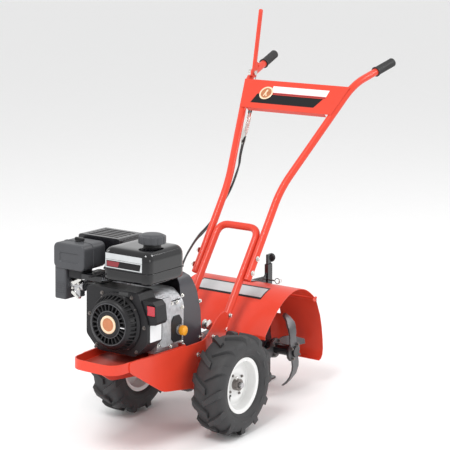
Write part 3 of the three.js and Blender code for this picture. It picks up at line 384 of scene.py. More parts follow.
def coated(node, finish):
    """Gives a CAD node its material."""
    slots = frame["nodes"][node].data.materials
    slots.clear()
    slots.append(bpy.data.materials[finish])


# ------------------------------------------------------------------ repeats by geometry nodes

def node_tree(name, sockets):
    """A geometry tree with its named inputs."""
    tree = bpy.data.node_groups.new(name, "GeometryNodeTree")
    tree.interface.new_socket("Geometry", in_out="OUTPUT", socket_type="NodeSocketGeometry")
    tree.interface.new_socket("Geometry", in_out="INPUT", socket_type="NodeSocketGeometry")
    for label, kind, default in sockets:
        socket = tree.interface.new_socket(label, in_out="INPUT", socket_type=kind)
        if default is not None:
            socket.default_value = default
    return tree, tree.nodes.new("NodeGroupInput"), tree.nodes.new("NodeGroupOutput")


def ring_tree():
    """Copies of the mesh, turned about the X axis at even steps."""
    sockets = [("Count", "NodeSocketInt", 12), ("Phase", "NodeSocketFloat", 0.0),
        ("Material", "NodeSocketMaterial", None)]
    tree, given, out = node_tree("Ring of Copies", sockets)
    new, link = tree.nodes.new, tree.links.new
    points, index = new("GeometryNodePoints"), new("GeometryNodeInputIndex")
    turn, copies = new("ShaderNodeCombineXYZ"), new("GeometryNodeInstanceOnPoints")
    step = calc(tree, "DIVIDE", 2 * math.pi, given.outputs["Count"])
    link(calc(tree, "MULTIPLY_ADD", index.outputs[0], step, given.outputs["Phase"]), turn.inputs["X"])
    link(given.outputs["Count"], points.inputs["Count"])
    link(points.outputs[0], copies.inputs["Points"])
    link(given.outputs["Geometry"], copies.inputs["Instance"])
    link(turn.outputs[0], copies.inputs["Rotation"])
    finish_tree(tree, copies.outputs[0], given, out)
    return tree


def row_tree():
    """Copies of the mesh in a straight row."""
    sockets = [("Count", "NodeSocketInt", 6), ("Step", "NodeSocketVector", (0, 0, 0)),
        ("Material", "NodeSocketMaterial", None)]
    tree, given, out = node_tree("Row of Copies", sockets)
    line, copies = tree.nodes.new("GeometryNodeMeshLine"), tree.nodes.new("GeometryNodeInstanceOnPoints")
    line.mode = "OFFSET"
    tree.links.new(given.outputs["Count"], line.inputs["Count"])
    tree.links.new(given.outputs["Step"], line.inputs["Offset"])
    tree.links.new(line.outputs[0], copies.inputs["Points"])
    tree.links.new(given.outputs["Geometry"], copies.inputs["Instance"])
    finish_tree(tree, copies.outputs[0], given, out)
    return tree


def bolt_tree():
    """A washer and a hexagon head on every point, turned by the point's own attribute."""
    sockets = [("Size", "NodeSocketFloat", 0.006), ("Material", "NodeSocketMaterial", None)]
    tree, given, out = node_tree("Hexagon Bolts", sockets)
    new, link = tree.nodes.new, tree.links.new
    washer, head, dome = new("GeometryNodeMeshCylinder"), new("GeometryNodeMeshCylinder"), new("GeometryNodeMeshCone")
    washer.inputs["Vertices"].default_value = 24
    head.inputs["Vertices"].default_value = 6
    dome.inputs["Vertices"].default_value = 6
    both = new("GeometryNodeJoinGeometry")
    for solid, lift, shares in (
        (washer, 0.1, {"Radius": 1.45, "Depth": 0.35}), (head, 0.7, {"Radius": 1.0, "Depth": 0.9}),
        (dome, 1.15, {"Radius Bottom": 1.0, "Radius Top": 0.8, "Depth": 0.15}),
    ):
        for socket, share in shares.items():
            link(calc(tree, "MULTIPLY", given.outputs["Size"], share), solid.inputs[socket])
        link(lifted(tree, given, solid.outputs["Mesh"], lift), both.inputs[0])
    turn, copies = new("GeometryNodeInputNamedAttribute"), new("GeometryNodeInstanceOnPoints")
    turn.data_type = "FLOAT_VECTOR"
    turn.inputs["Name"].default_value = "turn"
    link(given.outputs["Geometry"], copies.inputs["Points"])
    link(both.outputs[0], copies.inputs["Instance"])
    link(turn.outputs["Attribute"], copies.inputs["Rotation"])
    finish_tree(tree, copies.outputs[0], given, out)
    return tree


def lifted(tree, given, mesh, share):
    """The mesh raised by a share of the bolt's size."""
    offset, move = tree.nodes.new("ShaderNodeCombineXYZ"), tree.nodes.new("GeometryNodeTransform")
    tree.links.new(calc(tree, "MULTIPLY", given.outputs["Size"], share), offset.inputs["Z"])
    tree.links.new(mesh, move.inputs["Geometry"])
    tree.links.new(offset.outputs[0], move.inputs["Translation"])
    return move.outputs[0]


def finish_tree(tree, copies, given, out):
    """Makes the copies real and gives them the material."""
    real, paint = tree.nodes.new("GeometryNodeRealizeInstances"), tree.nodes.new("GeometryNodeSetMaterial")
    tree.links.new(copies, real.inputs[0])
    tree.links.new(real.outputs[0], paint.inputs["Geometry"])
    tree.links.new(given.outputs["Material"], paint.inputs["Material"])
    tree.links.new(paint.outputs[0], out.inputs[0])


def grown(thing, tree, values):
    """Runs a geometry tree on an object and leaves the result as its plain mesh."""
    modifier = thing.modifiers.new("grow", "NODES")
    modifier.node_group = tree
    for item in tree.interface.items_tree:
        if item.item_type == "SOCKET" and item.in_out == "INPUT" and item.name in values:
            modifier[item.identifier] = values[item.name]
    bpy.context.view_layer.update()
    evaluated = thing.evaluated_get(bpy.context.evaluated_depsgraph_get())
    mesh = bpy.data.meshes.new_from_object(evaluated)
    thing.modifiers.remove(modifier)
    thing.data = mesh
    return thing


def bare(name, shape):
    """A mesh object in metres about the origin, ready for a geometry tree."""
    mesh = bpy.data.meshes.new(name)
    mesh.from_pydata([p * 0.001 for p in shape.points], [], shape.faces)
    thing = bpy.data.objects.new(name, mesh)
    bpy.context.scene.collection.objects.link(thing)
    work = bmesh.new()
    work.from_mesh(mesh)
    bmesh.ops.recalc_face_normals(work, faces=work.faces)
    work.to_mesh(mesh)
    work.free()
    return thing


def repeated(name, shape, tree, values, place, finish, body, edge):
    """Copies of a shape by a geometry tree, then set in place."""
    values["Material"] = bpy.data.materials[finish]
    thing = grown(bare(name, shape), bpy.data.node_groups[tree], values)
    thing.data.transform(place @ Matrix.Scale(1000, 4))
    soften(thing, edge, 38, 2)
    return settled(thing, finish, body)


def ring_of(name, shape, count, phase, place, finish, body, edge=0.0):
    """Copies of a shape round the X axis."""
    return repeated(name, shape, "Ring of Copies", {"Count": count, "Phase": phase}, place, finish, body,
        edge)


def row_of(name, shape, count, step, place, finish, body, edge=0.0):
    """Copies of a shape in a row."""
    values = {"Count": count, "Step": tuple(s / 1000 for s in step)}
    return repeated(name, shape, "Row of Copies", values, place, finish, body, edge)


def bolts(name, spots, size, body, place=MACHINE, finish="zinc_plate"):
    """Hexagon bolts at spots of (point, outward direction), in millimetres."""
    mesh = bpy.data.meshes.new(name)
    mesh.from_pydata([place @ Vector(p) for p, _ in spots], [], [])
    turns = mesh.attributes.new("turn", "FLOAT_VECTOR", "POINT")
    for i, (_, out) in enumerate(spots):
        facing = (place.to_3x3() @ Vector(out)).to_track_quat("Z", "Y").to_euler()
        turns.data[i].vector = tuple(facing)
    thing = bpy.data.objects.new(name, mesh)
    bpy.context.scene.collection.objects.link(thing)
    grown(thing, bpy.data.node_groups["Hexagon Bolts"], {"Size": size / 1000,
        "Material": bpy.data.materials[finish]})
    soften(thing, 0.25, 38, 1)
    return settled(thing, finish, body)


# ------------------------------------------------------------------ shared finish effects

def effect(name, inputs, outputs):
    """A shader group with its named inputs and outputs."""
    group = bpy.data.node_groups.new(name, "ShaderNodeTree")
    for label, kind, default in inputs:
        socket = group.interface.new_socket(label, in_out="INPUT", socket_type=kind)
        socket.default_value = default
    for label, kind in outputs:
        group.interface.new_socket(label, in_out="OUTPUT", socket_type=kind)
    return group, group.nodes.new("NodeGroupInput"), group.nodes.new("NodeGroupOutput")


def calc(tree, kind, a, b=None, c=None, clamp=False):
    """One Math node on sockets or numbers."""
    node = tree.nodes.new("ShaderNodeMath")
    node.operation = kind
    node.use_clamp = clamp
    for socket, value in zip(node.inputs, (a, b, c)):
        if value is None:
            continue
        if isinstance(value, (int, float)):
            socket.default_value = value
        else:
            tree.links.new(value, socket)
    return node.outputs[0]


def noise(tree, place, scale, detail=3.0, rough=0.55):
    """One Noise Texture's value."""
    node = tree.nodes.new("ShaderNodeTexNoise")
    tree.links.new(place, node.inputs["Vector"])
    for label, value in (("Scale", scale), ("Detail", detail), ("Roughness", rough)):
        if isinstance(value, (int, float)):
            node.inputs[label].default_value = value
        else:
            tree.links.new(value, node.inputs[label])
    return node.outputs["Fac"]


def mottle_group():
    """Slow unevenness of a coat, a moulding or a casting."""
    group, given, out = effect(
        "Mottle", [("Place", "NodeSocketVector", (0, 0, 0)), ("Scale", "NodeSocketFloat", 12.0)],
        [("Slow", "NodeSocketFloat")])
    group.links.new(noise(group, given.outputs["Place"], given.outputs["Scale"]), out.inputs["Slow"])


def edge_group():
    """A mask along outer edges, broken up by a fine noise; it carries rubbed wear and a painted edge highlight."""
    group, given, out = effect(
        "Edge Wear",
        [("Place", "NodeSocketVector", (0, 0, 0)), ("Width", "NodeSocketFloat", 0.0015),
        ("Amount", "NodeSocketFloat", 0.5)],
        [("Mask", "NodeSocketFloat")],
    )
    flat, bent = group.nodes.new("ShaderNodeNewGeometry"), group.nodes.new("ShaderNodeBevel")
    bent.samples = 4
    group.links.new(given.outputs["Width"], bent.inputs["Radius"])
    dot = group.nodes.new("ShaderNodeVectorMath")
    dot.operation = "DOT_PRODUCT"
    group.links.new(flat.outputs["Normal"], dot.inputs[0])
    group.links.new(bent.outputs["Normal"], dot.inputs[1])
    turned_away = calc(group, "MULTIPLY", calc(group, "SUBTRACT", 1.0, dot.outputs["Value"]), 4.0, clamp=True)
    broken = calc(group, "MULTIPLY", turned_away, noise(group, given.outputs["Place"], 160.0, 4.0))
    group.links.new(calc(group, "MULTIPLY", broken, given.outputs["Amount"], clamp=True), out.inputs["Mask"])


def dust_group():
    """A mask of dust on faces that look up, patchy."""
    group, given, out = effect(
        "Settled Dust",
        [("Place", "NodeSocketVector", (0, 0, 0)), ("Amount", "NodeSocketFloat", 0.2)],
        [("Mask", "NodeSocketFloat")],
    )
    facing, split = group.nodes.new("ShaderNodeNewGeometry"), group.nodes.new("ShaderNodeSeparateXYZ")
    group.links.new(facing.outputs["Normal"], split.inputs[0])
    up = calc(group, "MULTIPLY_ADD", split.outputs["Z"], 0.6, 0.3, clamp=True)
    patches = calc(group, "MULTIPLY", up, noise(group, given.outputs["Place"], 22.0, 5.0, 0.65))
    group.links.new(calc(group, "MULTIPLY", patches, given.outputs["Amount"], clamp=True), out.inputs["Mask"])


def grain_group():
    """Small raised grain of a textured moulding or a sand casting."""
    group, given, out = effect(
        "Raised Grain",
        [("Place", "NodeSocketVector", (0, 0, 0)), ("Scale", "NodeSocketFloat", 600.0),
        ("Depth", "NodeSocketFloat", 1.0)],
        [("Height", "NodeSocketFloat")],
    )
    cells = group.nodes.new("ShaderNodeTexVoronoi")
    cells.feature = "SMOOTH_F1"
    group.links.new(given.outputs["Place"], cells.inputs["Vector"])
    group.links.new(given.outputs["Scale"], cells.inputs["Scale"])
    both = calc(group, "ADD", cells.outputs["Distance"], noise(group, given.outputs["Place"],
        given.outputs["Scale"]))
    group.links.new(calc(group, "MULTIPLY", both, given.outputs["Depth"]), out.inputs["Height"])


def surface(name, colour, roughness, metal=0.0, coat=0.0, variation=0.12, grain=(900.0, 0.04), slow=12.0,
            edge_wear_and_highlight_colour=None, wear=0.0, dust=0.0, dust_colour=(0.42, 0.38, 0.33), rough_swing=0.1, gloss_level=0.5):
    """One finish: a Principled surface with mottle, grain, edge wear that is partly a painted edge highlight, and
    dust.
    """
    material = bpy.data.materials.new(name)
    material.use_nodes = True
    tree = material.node_tree
    shader = next(n for n in tree.nodes if n.type == "BSDF_PRINCIPLED")
    place = tree.nodes.new("ShaderNodeTexCoord").outputs["Object"]
    shader.inputs["Metallic"].default_value = metal
    shader.inputs["Coat Weight"].default_value = coat
    shader.inputs["Coat Roughness"].default_value = 0.08
    shader.inputs["Specular IOR Level"].default_value = gloss_level

    def placed(group, values):
        node = tree.nodes.new("ShaderNodeGroup")
        node.node_tree = bpy.data.node_groups[group]
        tree.links.new(place, node.inputs["Place"])
        for label, value in values.items():
            node.inputs[label].default_value = value
        return node

    mottle = placed("Mottle", {"Scale": slow})
    dark, light = [c * (1 - variation) for c in colour], [min(1, c * (1 + variation)) for c in colour]
    tint = blend_of(tree, mottle.outputs["Slow"], dark, light)
    # Edges blend to the edge colour: rubbed wear, and where that colour is a lighter tone of the finish, a painted
    # edge highlight.
    if edge_wear_and_highlight_colour and wear:
        tint = blend_of(tree, placed("Edge Wear", {"Amount": wear}).outputs["Mask"], tint, edge_wear_and_highlight_colour)
    rough = calc(tree, "MULTIPLY_ADD", mottle.outputs["Slow"], rough_swing, roughness - rough_swing / 2,
        clamp=True)
    if dust:
        mask = placed("Settled Dust", {"Amount": dust}).outputs["Mask"]
        tint = blend_of(tree, mask, tint, dust_colour)
        rough = calc(tree, "MULTIPLY_ADD", mask, 0.4, rough, clamp=True)
    tree.links.new(tint, shader.inputs["Base Color"])
    tree.links.new(rough, shader.inputs["Roughness"])
    bump = tree.nodes.new("ShaderNodeBump")
    bump.inputs["Strength"].default_value = grain[1]
    bump.inputs["Distance"].default_value = 0.001
    tree.links.new(placed("Raised Grain", {"Scale": grain[0]}).outputs["Height"], bump.inputs["Height"])
    tree.links.new(bump.outputs["Normal"], shader.inputs["Normal"])
    material.diffuse_color = (*colour, 1)
    return material


def blend_of(tree, factor, a, b):
    """One colour Mix node on sockets or colours."""
    node = tree.nodes.new("ShaderNodeMix")
    node.data_type = "RGBA"
    tree.links.new(factor, node.inputs["Factor"])
    for socket, value in ((node.inputs["A"], a), (node.inputs["B"], b)):
        if isinstance(value, (list, tuple)):
            socket.default_value = (*value, 1)
        else:
            tree.links.new(value, socket)
    return node.outputs["Result"]


# ------------------------------------------------------------------ settings

def length(name, about, default, low, high):
    """A size in metres that a user may change."""
    return bpy.props.FloatProperty(
        name=name, description=about, default=default, min=low, max=high, unit="LENGTH", precision=4)


class TillerFinishes(bpy.types.PropertyGroup):
    """Colours and their wear, which is partly a painted edge highlight."""

    paint: bpy.props.FloatVectorProperty(
        name="Paint", description="Powder coat on frame, hood and handles", subtype="COLOR", size=3,
        default=(0.72, 0.05, 0.022), min=0, max=1)
    cover: bpy.props.FloatVectorProperty(
        name="Belt Cover", description="Satin grey of the belt cover", subtype="COLOR", size=3,
        default=(0.045, 0.045, 0.055), min=0, max=1)
    moulding: bpy.props.FloatVectorProperty(
        name="Grey Moulding", description="Grey of the air cleaner and the fuel cap", subtype="COLOR", size=3,
        default=(0.07, 0.072, 0.078), min=0, max=1)
    # This amount also sets the painted edge highlight on the paint.
    wear: bpy.props.FloatProperty(
        name="Edge Wear", description="How far the paint's edges are rubbed", default=0.25, min=0, max=1,
        subtype="FACTOR")
    dust: bpy.props.FloatProperty(
        name="Dust", description="Dust on the tyres and the castings", default=0.3, min=0, max=1,
        subtype="FACTOR")


class TillerWheels(bpy.types.PropertyGroup):
    """Tyres and rims."""

    lugs: bpy.props.IntProperty(name="Lugs a Side", description="Tread lugs on each half of a tyre",
        default=12, min=6, max=24)
    lug_rise: length("Lug Height", "How far a lug stands over the carcass", 0.011, 0.002, 0.02)
    stem: length("Valve Stem", "Length of the valve stem", 0.03, 0.01, 0.05)


class TillerEngine(bpy.types.PropertyGroup):
    """Engine repeats."""

    face_slots: bpy.props.IntProperty(name="Face Ribs", description="Ribs in the recoil cover's face",
        default=24, min=6, max=60)
    side_slots: bpy.props.IntProperty(name="Side Ribs", description="Ribs round the recoil cover's side",
        default=36, min=6, max=90)
    lobes: bpy.props.IntProperty(name="Cap Lobes", description="Finger lobes round the fuel cap", default=12,
        min=4, max=24)


class TillerStage(bpy.types.PropertyGroup):
    """Camera and light."""

    lens: bpy.props.FloatProperty(name="Lens", description="Focal length in millimetres", default=121.2,
        min=20, max=400)
    light: bpy.props.FloatProperty(name="Light", description="Strength of the soft lights", default=1.0,
        min=0, max=4, subtype="FACTOR")


SETTINGS = (
    ("tiller_finishes", TillerFinishes), ("tiller_wheels", TillerWheels), ("tiller_engine", TillerEngine),
    ("tiller_stage", TillerStage),
)


class TILLER_OT_finishes(bpy.types.Operator):
    """Make every material and repeat tree"""

    bl_idname = "tiller.finishes"
    bl_label = "Finishes"

    def execute(self, context):
        mottle_group()
        edge_group()
        dust_group()
        grain_group()
        ring_tree()
        row_tree()
        bolt_tree()
        look = context.scene.tiller_finishes
        paint, wear, dust = list(look.paint), look.wear, look.dust
        # The paint's edge colour is a lighter orange: a painted edge highlight.
        surface("powder_coat", paint, 0.34, coat=0.12, variation=0.08, grain=(700.0, 0.06),
            edge_wear_and_highlight_colour=(0.95, 0.42, 0.3), wear=wear, dust=0.04, gloss_level=0.35)
        # A darker copy of the paint with some dust: painted shade for the hood's inner webs and the engine tray's
        # floor.
        surface("powder_coat_shade", [c * 0.55 for c in paint], 0.42, coat=0.1, variation=0.15,
            grain=(700.0, 0.06), dust=0.15)
        surface("black_enamel", (0.01, 0.01, 0.012), 0.24, coat=0.25, variation=0.3, grain=(800.0, 0.03),
            edge_wear_and_highlight_colour=(0.12, 0.12, 0.12), wear=0.5)
        surface("tank_gloss", (0.004, 0.004, 0.005), 0.12, coat=0.5, variation=0.2, grain=(500.0, 0.02),
            rough_swing=0.04, gloss_level=0.3)
        surface("black_moulding", (0.014, 0.014, 0.016), 0.36, variation=0.25, grain=(1500.0, 0.12),
            edge_wear_and_highlight_colour=(0.08, 0.08, 0.08), wear=0.5, dust=0.04, gloss_level=0.28)
        surface("grey_moulding", list(look.moulding), 0.4, variation=0.12, grain=(1300.0, 0.12),
            edge_wear_and_highlight_colour=(0.22, 0.22, 0.23), wear=0.5, gloss_level=0.3)
        surface("cover_satin", list(look.cover), 0.34, coat=0.15, variation=0.12, grain=(900.0, 0.05),
            edge_wear_and_highlight_colour=(0.2, 0.2, 0.22), wear=0.3)
        surface("rough_casting", (0.56, 0.57, 0.59), 0.42, metal=0.85, variation=0.5, grain=(260.0, 0.9),
            slow=60.0, dust=0.25, dust_colour=(0.16, 0.15, 0.14), rough_swing=0.3)
        surface("zinc_plate", (0.74, 0.73, 0.7), 0.26, metal=1.0, variation=0.12, grain=(900.0, 0.05),
            slow=60.0)
        surface("machined_steel", (0.5, 0.5, 0.51), 0.28, metal=1.0, variation=0.12, grain=(1100.0, 0.06),
            slow=40.0)
        surface("white_enamel", (0.86, 0.86, 0.85), 0.28, coat=0.4, variation=0.03, grain=(700.0, 0.04),
            edge_wear_and_highlight_colour=(0.6, 0.6, 0.6), wear=0.3, dust=0.08)
        surface("tyre_rubber", (0.034, 0.034, 0.036), 0.55, variation=0.3, grain=(900.0, 0.2), slow=30.0,
            edge_wear_and_highlight_colour=(0.09, 0.09, 0.09), wear=0.7, dust=dust, dust_colour=(0.11, 0.105, 0.1), gloss_level=0.4)
        surface("grip_rubber", (0.022, 0.022, 0.023), 0.5, variation=0.25, grain=(1400.0, 0.2))
        surface("cable_jacket", (0.014, 0.014, 0.015), 0.35, variation=0.2, grain=(1500.0, 0.05))
        surface("worm_bronze", (0.55, 0.33, 0.12), 0.3, metal=1.0, variation=0.1, grain=(900.0, 0.05))
        surface("amber_moulding", (0.85, 0.36, 0.02), 0.32, variation=0.1, grain=(900.0, 0.08))
        surface("red_moulding", (0.5, 0.012, 0.03), 0.22, coat=0.5, variation=0.08, grain=(900.0, 0.04))
        surface("label_white", (0.82, 0.82, 0.83), 0.3, coat=0.4, variation=0.03, grain=(500.0, 0.02))
        surface("label_black", (0.006, 0.006, 0.007), 0.3, coat=0.1, variation=0.1, grain=(500.0, 0.02),
            gloss_level=0.25)
        surface("label_silver", (0.62, 0.64, 0.65), 0.3, metal=0.5, coat=0.4, variation=0.15,
            grain=(400.0, 0.03), slow=30.0)
        surface("label_red", (0.22, 0.008, 0.016), 0.3, coat=0.4, variation=0.06, grain=(500.0, 0.02))
        surface("label_cream", (0.86, 0.66, 0.45), 0.28, coat=0.5, variation=0.05, grain=(500.0, 0.02))
        surface("label_copper", (0.55, 0.2, 0.08), 0.3, metal=0.4, coat=0.5, variation=0.25,
            grain=(300.0, 0.06), slow=80.0)
        surface("tine_steel", (0.13, 0.13, 0.135), 0.38, metal=0.6, variation=0.25, grain=(700.0, 0.12),
            edge_wear_and_highlight_colour=(0.55, 0.54, 0.52), wear=0.9, slow=30.0)
        surface("exhaust_steel", (0.2, 0.18, 0.17), 0.4, metal=0.9, variation=0.3, grain=(700.0, 0.1),
            slow=40.0)
        for node, finish in PLAIN_NODES.items():
            coated(node, finish)
        return {"FINISHED"}


PLAIN_NODES = {
    "axle_worm_wheel": "worm_bronze", "tine_worm_wheel": "worm_bronze", "input_shaft": "machined_steel",
    "crankshaft": "machined_steel", "flywheel_fan": "rough_casting",
}


# ------------------------------------------------------------------ stage

CAMERA_PLACE = Vector((2.7381, AXLE.y - 3.836, 1.701))
CAMERA_TILT, CAMERA_HEADING = 77.5, 33.77
LAMPS = (
    ("key_light", (0.4, -2.6, 3.8), 1.2, 85), ("fill_light", (-3.2, -1.6, 2.4), 1.2, 20),
    ("back_light", (2.6, 2.8, 3.0), 1.2, 45), ("low_light", (3.6, -0.6, 0.9), 0.9, 8),
)
FLOOR_REACH, FLOOR_HEIGHT = 40, -0.001


class TILLER_OT_stage(bpy.types.Operator):
    """Floor, soft lights and the camera"""

    bl_idname = "tiller.stage"
    bl_label = "Stage"

    def execute(self, context):
        scene, values = context.scene, context.scene.tiller_stage
        surface("pale_floor", (0.93, 0.93, 0.93), 0.7, variation=0.01, grain=(60.0, 0.01))
        mesh = bpy.data.meshes.new("floor")
        edge = (FLOOR_REACH, FLOOR_REACH)
        corners = [(x, y, FLOOR_HEIGHT) for x, y in corners_of((-FLOOR_REACH, -FLOOR_REACH), edge)]
        mesh.from_pydata(corners, [], [[0, 1, 2, 3]])
        floor = bpy.data.objects.new("floor", mesh)
        scene.collection.objects.link(floor)
        mesh.materials.append(bpy.data.materials["pale_floor"])
        world = bpy.data.worlds.new("soft_room")
        world.use_nodes = True
        sky = next(n for n in world.node_tree.nodes if n.type == "BACKGROUND")
        sky.inputs["Color"].default_value = (1, 1, 1, 1)
        sky.inputs["Strength"].default_value = 0.86 * values.light
        scene.world = world
        scene.view_settings.view_transform = "Standard"
        target = Vector((0, AXLE.y + 0.15, 0.5))
        for name, place, size, watts in LAMPS:
            data = bpy.data.lights.new(name, "AREA")
            data.size, data.energy = size, watts * values.light
            lamp = bpy.data.objects.new(name, data)
            scene.collection.objects.link(lamp)
            lamp.location = place
            lamp.rotation_euler = (target - Vector(place)).to_track_quat("-Z", "Y").to_euler()
        data = bpy.data.cameras.new("camera")
        data.lens, data.sensor_width, data.clip_end = values.lens, 36, 100
        camera = bpy.data.objects.new("camera", data)
        camera.location = CAMERA_PLACE
        camera.rotation_euler = (math.radians(CAMERA_TILT), 0, math.radians(CAMERA_HEADING))
        scene.collection.objects.link(camera)
        scene.camera = camera
        return {"FINISHED"}


# ------------------------------------------------------------------ cables

CABLE_RADIUS = 3.2
FORWARD_CABLE = [
    (-170, 684, 934), (-162, 650, 880), (-150, 602, 826), (-132, 556, 790), (-114, 520, 766),
    (-100, 474, 734), (-104, 444, 686),
    (-120, 404, 630), (-128, 366, 588), (-129, 330, 568), (-122, 285, 556), (-100, 215, 540), (-76, 140, 515),
    (-58, 78, 472),
    (-50, 46, 420), (-48, 38, 372),
]
REVERSE_CABLE = [
    (-181, 687, 934), (-173, 655, 876), (-161, 610, 820), (-143, 566, 782), (-124, 530, 754),
    (-110, 486, 720), (-114, 454, 674),
    (-130, 412, 618), (-139, 368, 572), (-139, 328, 550), (-131, 280, 538), (-109, 212, 522), (-86, 140, 496),
    (-68, 82, 454),
    (-61, 54, 408), (-59, 46, 362),
]


def narrow_ends(share):
    """A sleeve is drawn in at both ends."""
    return (0.8, 0.8) if share < 0.12 or share > 0.88 else (1.0, 1.0)


class TILLER_OT_cables(bpy.types.Operator):
    """The two control cables with their adjusters and ferrules"""

    bl_idname = "tiller.cables"
    bl_label = "Control Cables"

    def execute(self, context):
        for name, route in (("forward_cable", FORWARD_CABLE), ("reverse_cable", REVERSE_CABLE)):
            line = smooth_line(route, 8)
            jacket = piece(name + "_jacket", piped(line, CABLE_RADIUS, 16), "cable_jacket", "chassis",
                replaces=[name])
            for end, spots, finish, radius in (
                ("adjuster", line[2:14], "zinc_plate", 5.2), ("ferrule", line[-9:-1], "black_moulding", 4.9),
            ):
                piece(f"{name}_{end}", piped(spots, radius, 18, narrow_ends), finish, "chassis")
        return {"FINISHED"}


# ------------------------------------------------------------------ wheels

WHEEL_X, WHEEL_Z = 200.5, 165.0


def lug_shape(side, rise):
    """One slanted tread lug, from the tyre's middle out over its shoulder."""
    sections = []
    for x, lean, base, top, half in (
        (-5, -25, 149, 152.6 + rise, 9.5), (8, -17, 149, 153.2 + rise, 10), (24, -6, 148, 153.2 + rise, 10.5),
        (40, 6, 142, 151.8 + rise, 11), (51, 13, 130, 147 + rise * 0.8, 11.5), (54.6, 15, 116, 132, 11.5),
        (54.2, 16, 112, 118, 11),
    ):
        ring = []
        for wide, radius in ((half + 2.4, base), (half, top), (-half, top), (-half - 2.4, base)):
            across = lean + wide
            ring.append((x * side, across, math.sqrt(radius**2 - across**2)))
        sections.append(ring)
    return lofted(sections)


def sided(profile, side):
    """A turned wall's profile for one side of the machine."""
    return [(r, x * side) for r, x in closed_ring(profile)]


def stem_width(share):
    """A valve stem swells where it passes the rim."""
    wide = 1.7 - 4 * share if share < 0.2 else 0.9
    return wide, wide


class TILLER_OT_wheels(bpy.types.Operator):
    """Tyres with tread lugs, rims, hubs, pins and valve stems"""

    bl_idname = "tiller.wheels"
    bl_label = "Wheels"

    def execute(self, context):
        values = context.scene.tiller_wheels
        rise = values.lug_rise * 1000
        half = [(81, 39.5), (90.8, 39.2), (92.2, 41), (95, 45.5), (99, 48), (101, 49.2), (102, 48.6),
            (104, 49.6), (112, 53),
                (122, 54.8), (132, 54), (140, 51), (147, 45), (151.2, 36), (153.2, 22), (154, 8)]
        carcass = [*half, *[(r, -x) for r, x in half[::-1]]]
        rim = [
            (18.8, 11), (26, 10), (34, 12), (42, 15), (50, 15.4), (58, 13), (66, 8), (72, 6.6), (76, 8.5),
            (77, 12), (77, 35.5),
            (78.6, 39), (85.5, 41), (88.6, 42), (90.8, 41.4), (90.6, 39.6), (84, 38.6), (80.4, 35), (80, 32),
            (80, -32),
            (80.4, -35), (84, -38.6), (90.6, -39.6), (90.8, -41.4), (88.6, -42), (85.5, -41), (78.6, -39),
            (77, -35.5), (77, 4),
            (74, 2.8), (66, 4.2), (58, 9.4), (50, 12), (42, 11.6), (34, 8.4), (26, 6.6), (18.8, 7),
        ]
        hub = [(9.9, -35), (10.6, -36), (18, -36), (19, -35), (19, 29), (18, 30), (10.6, 30), (9.9, 29)]
        for name, side in (("left", 1), ("right", -1)):
            place = group_place(side * WHEEL_X, 0, WHEEL_Z)
            piece(f"tyre_{name}_carcass", spun("x", sided(carcass, side), 96), "tyre_rubber", "wheels", place,
                replaces=[f"tyre_{name}"])
            for row, facing in (("outer", side), ("inner", -side)):
                phase = 0.0 if row == "outer" else math.pi / values.lugs
                ring_of(f"tyre_{name}_{row}_lugs", lug_shape(facing, rise), values.lugs, phase, place,
                    "tyre_rubber", "wheels", 1.2)
            piece(f"rim_{name}", spun("x", sided(rim, side), 128), "white_enamel", "wheels", place,
                replaces=[f"wheel_rim_{name}"])
            piece(f"hub_{name}", spun("x", sided(hub, side), 48), "exhaust_steel", "wheels", place)
            stem_at = Matrix.Rotation(math.radians(130 if side > 0 else 50), 4, "X")
            reach = values.stem * 1000
            foot, tip_at = Vector((side * 12, 0, 46)), Vector((side * 22, 0, 46 + reach * 0.7))
            stem = piped([foot.lerp(tip_at, i / 12) for i in range(13)], 4.4, 16, stem_width)
            tip = piped([tip_at.lerp(tip_at * 2 - foot, i / 20) for i in range(6)], 3.6, 12)
            piece(f"valve_stem_{name}", stem.moved(stem_at), "cable_jacket", "wheels", place, 0.5)
            piece(f"valve_cap_{name}", tip.moved(stem_at), "black_moulding", "wheels", place, 0.6)
            pin_at = Matrix.Translation((side * 22, 0, 0)) @ Matrix.Rotation(math.radians(24), 4, "X")
            pin = rod("z", 3.2, -27, 30, edge=1.2) + rod("z", 6, 26, 30, edge=1)
            piece(f"hub_pin_{name}", pin.moved(pin_at), "zinc_plate", "wheels", place)
            spots = [((side * 14.6, 38 * math.cos(a), 38 * math.sin(a)), (side, 0, 0)) for a in (3.6, 5.2,
                0.5, 2.1)]
            bolts(f"disc_bolts_{name}", spots, 3.4, "wheels", place, "exhaust_steel")
        refined("axle_shaft", "machined_steel", 0.8)
        return {"FINISHED"}


# ------------------------------------------------------------------ tines, hood, flap and stake

TINE_Y, TINE_Z = 430.0, 155.0
HINGE = (517.0, 326.0)
HOOD_HALF = 203
BLADE_FACE = 9.3


def aimed(degrees, reach):
    """A step at an angle in the (Y, Z) plane."""
    return Vector((math.cos(math.radians(degrees)), math.sin(math.radians(degrees)))) * reach


def hood_line(steps=40):
    """The hood's side outline, one curve from front to rear."""
    front, rear = Vector((190, 272)), Vector((508, 335))
    a, b = front + aimed(48, 165), rear - aimed(-42, 135)
    return [front * (1 - t) ** 3 + a * (3 * t * (1 - t) ** 2) + b * (3 * t * t * (1 - t)) + rear * t**3
            for t in [i / steps for i in range(steps + 1)]]


def inward(line, wall):
    """The same line moved to its right-hand side by a wall."""
    found = []
    for i, point in enumerate(line):
        along = (line[min(i + 1, len(line) - 1)] - line[max(i - 1, 0)]).normalized()
        found.append(point + Vector((along.y, -along.x)) * wall)
    return found


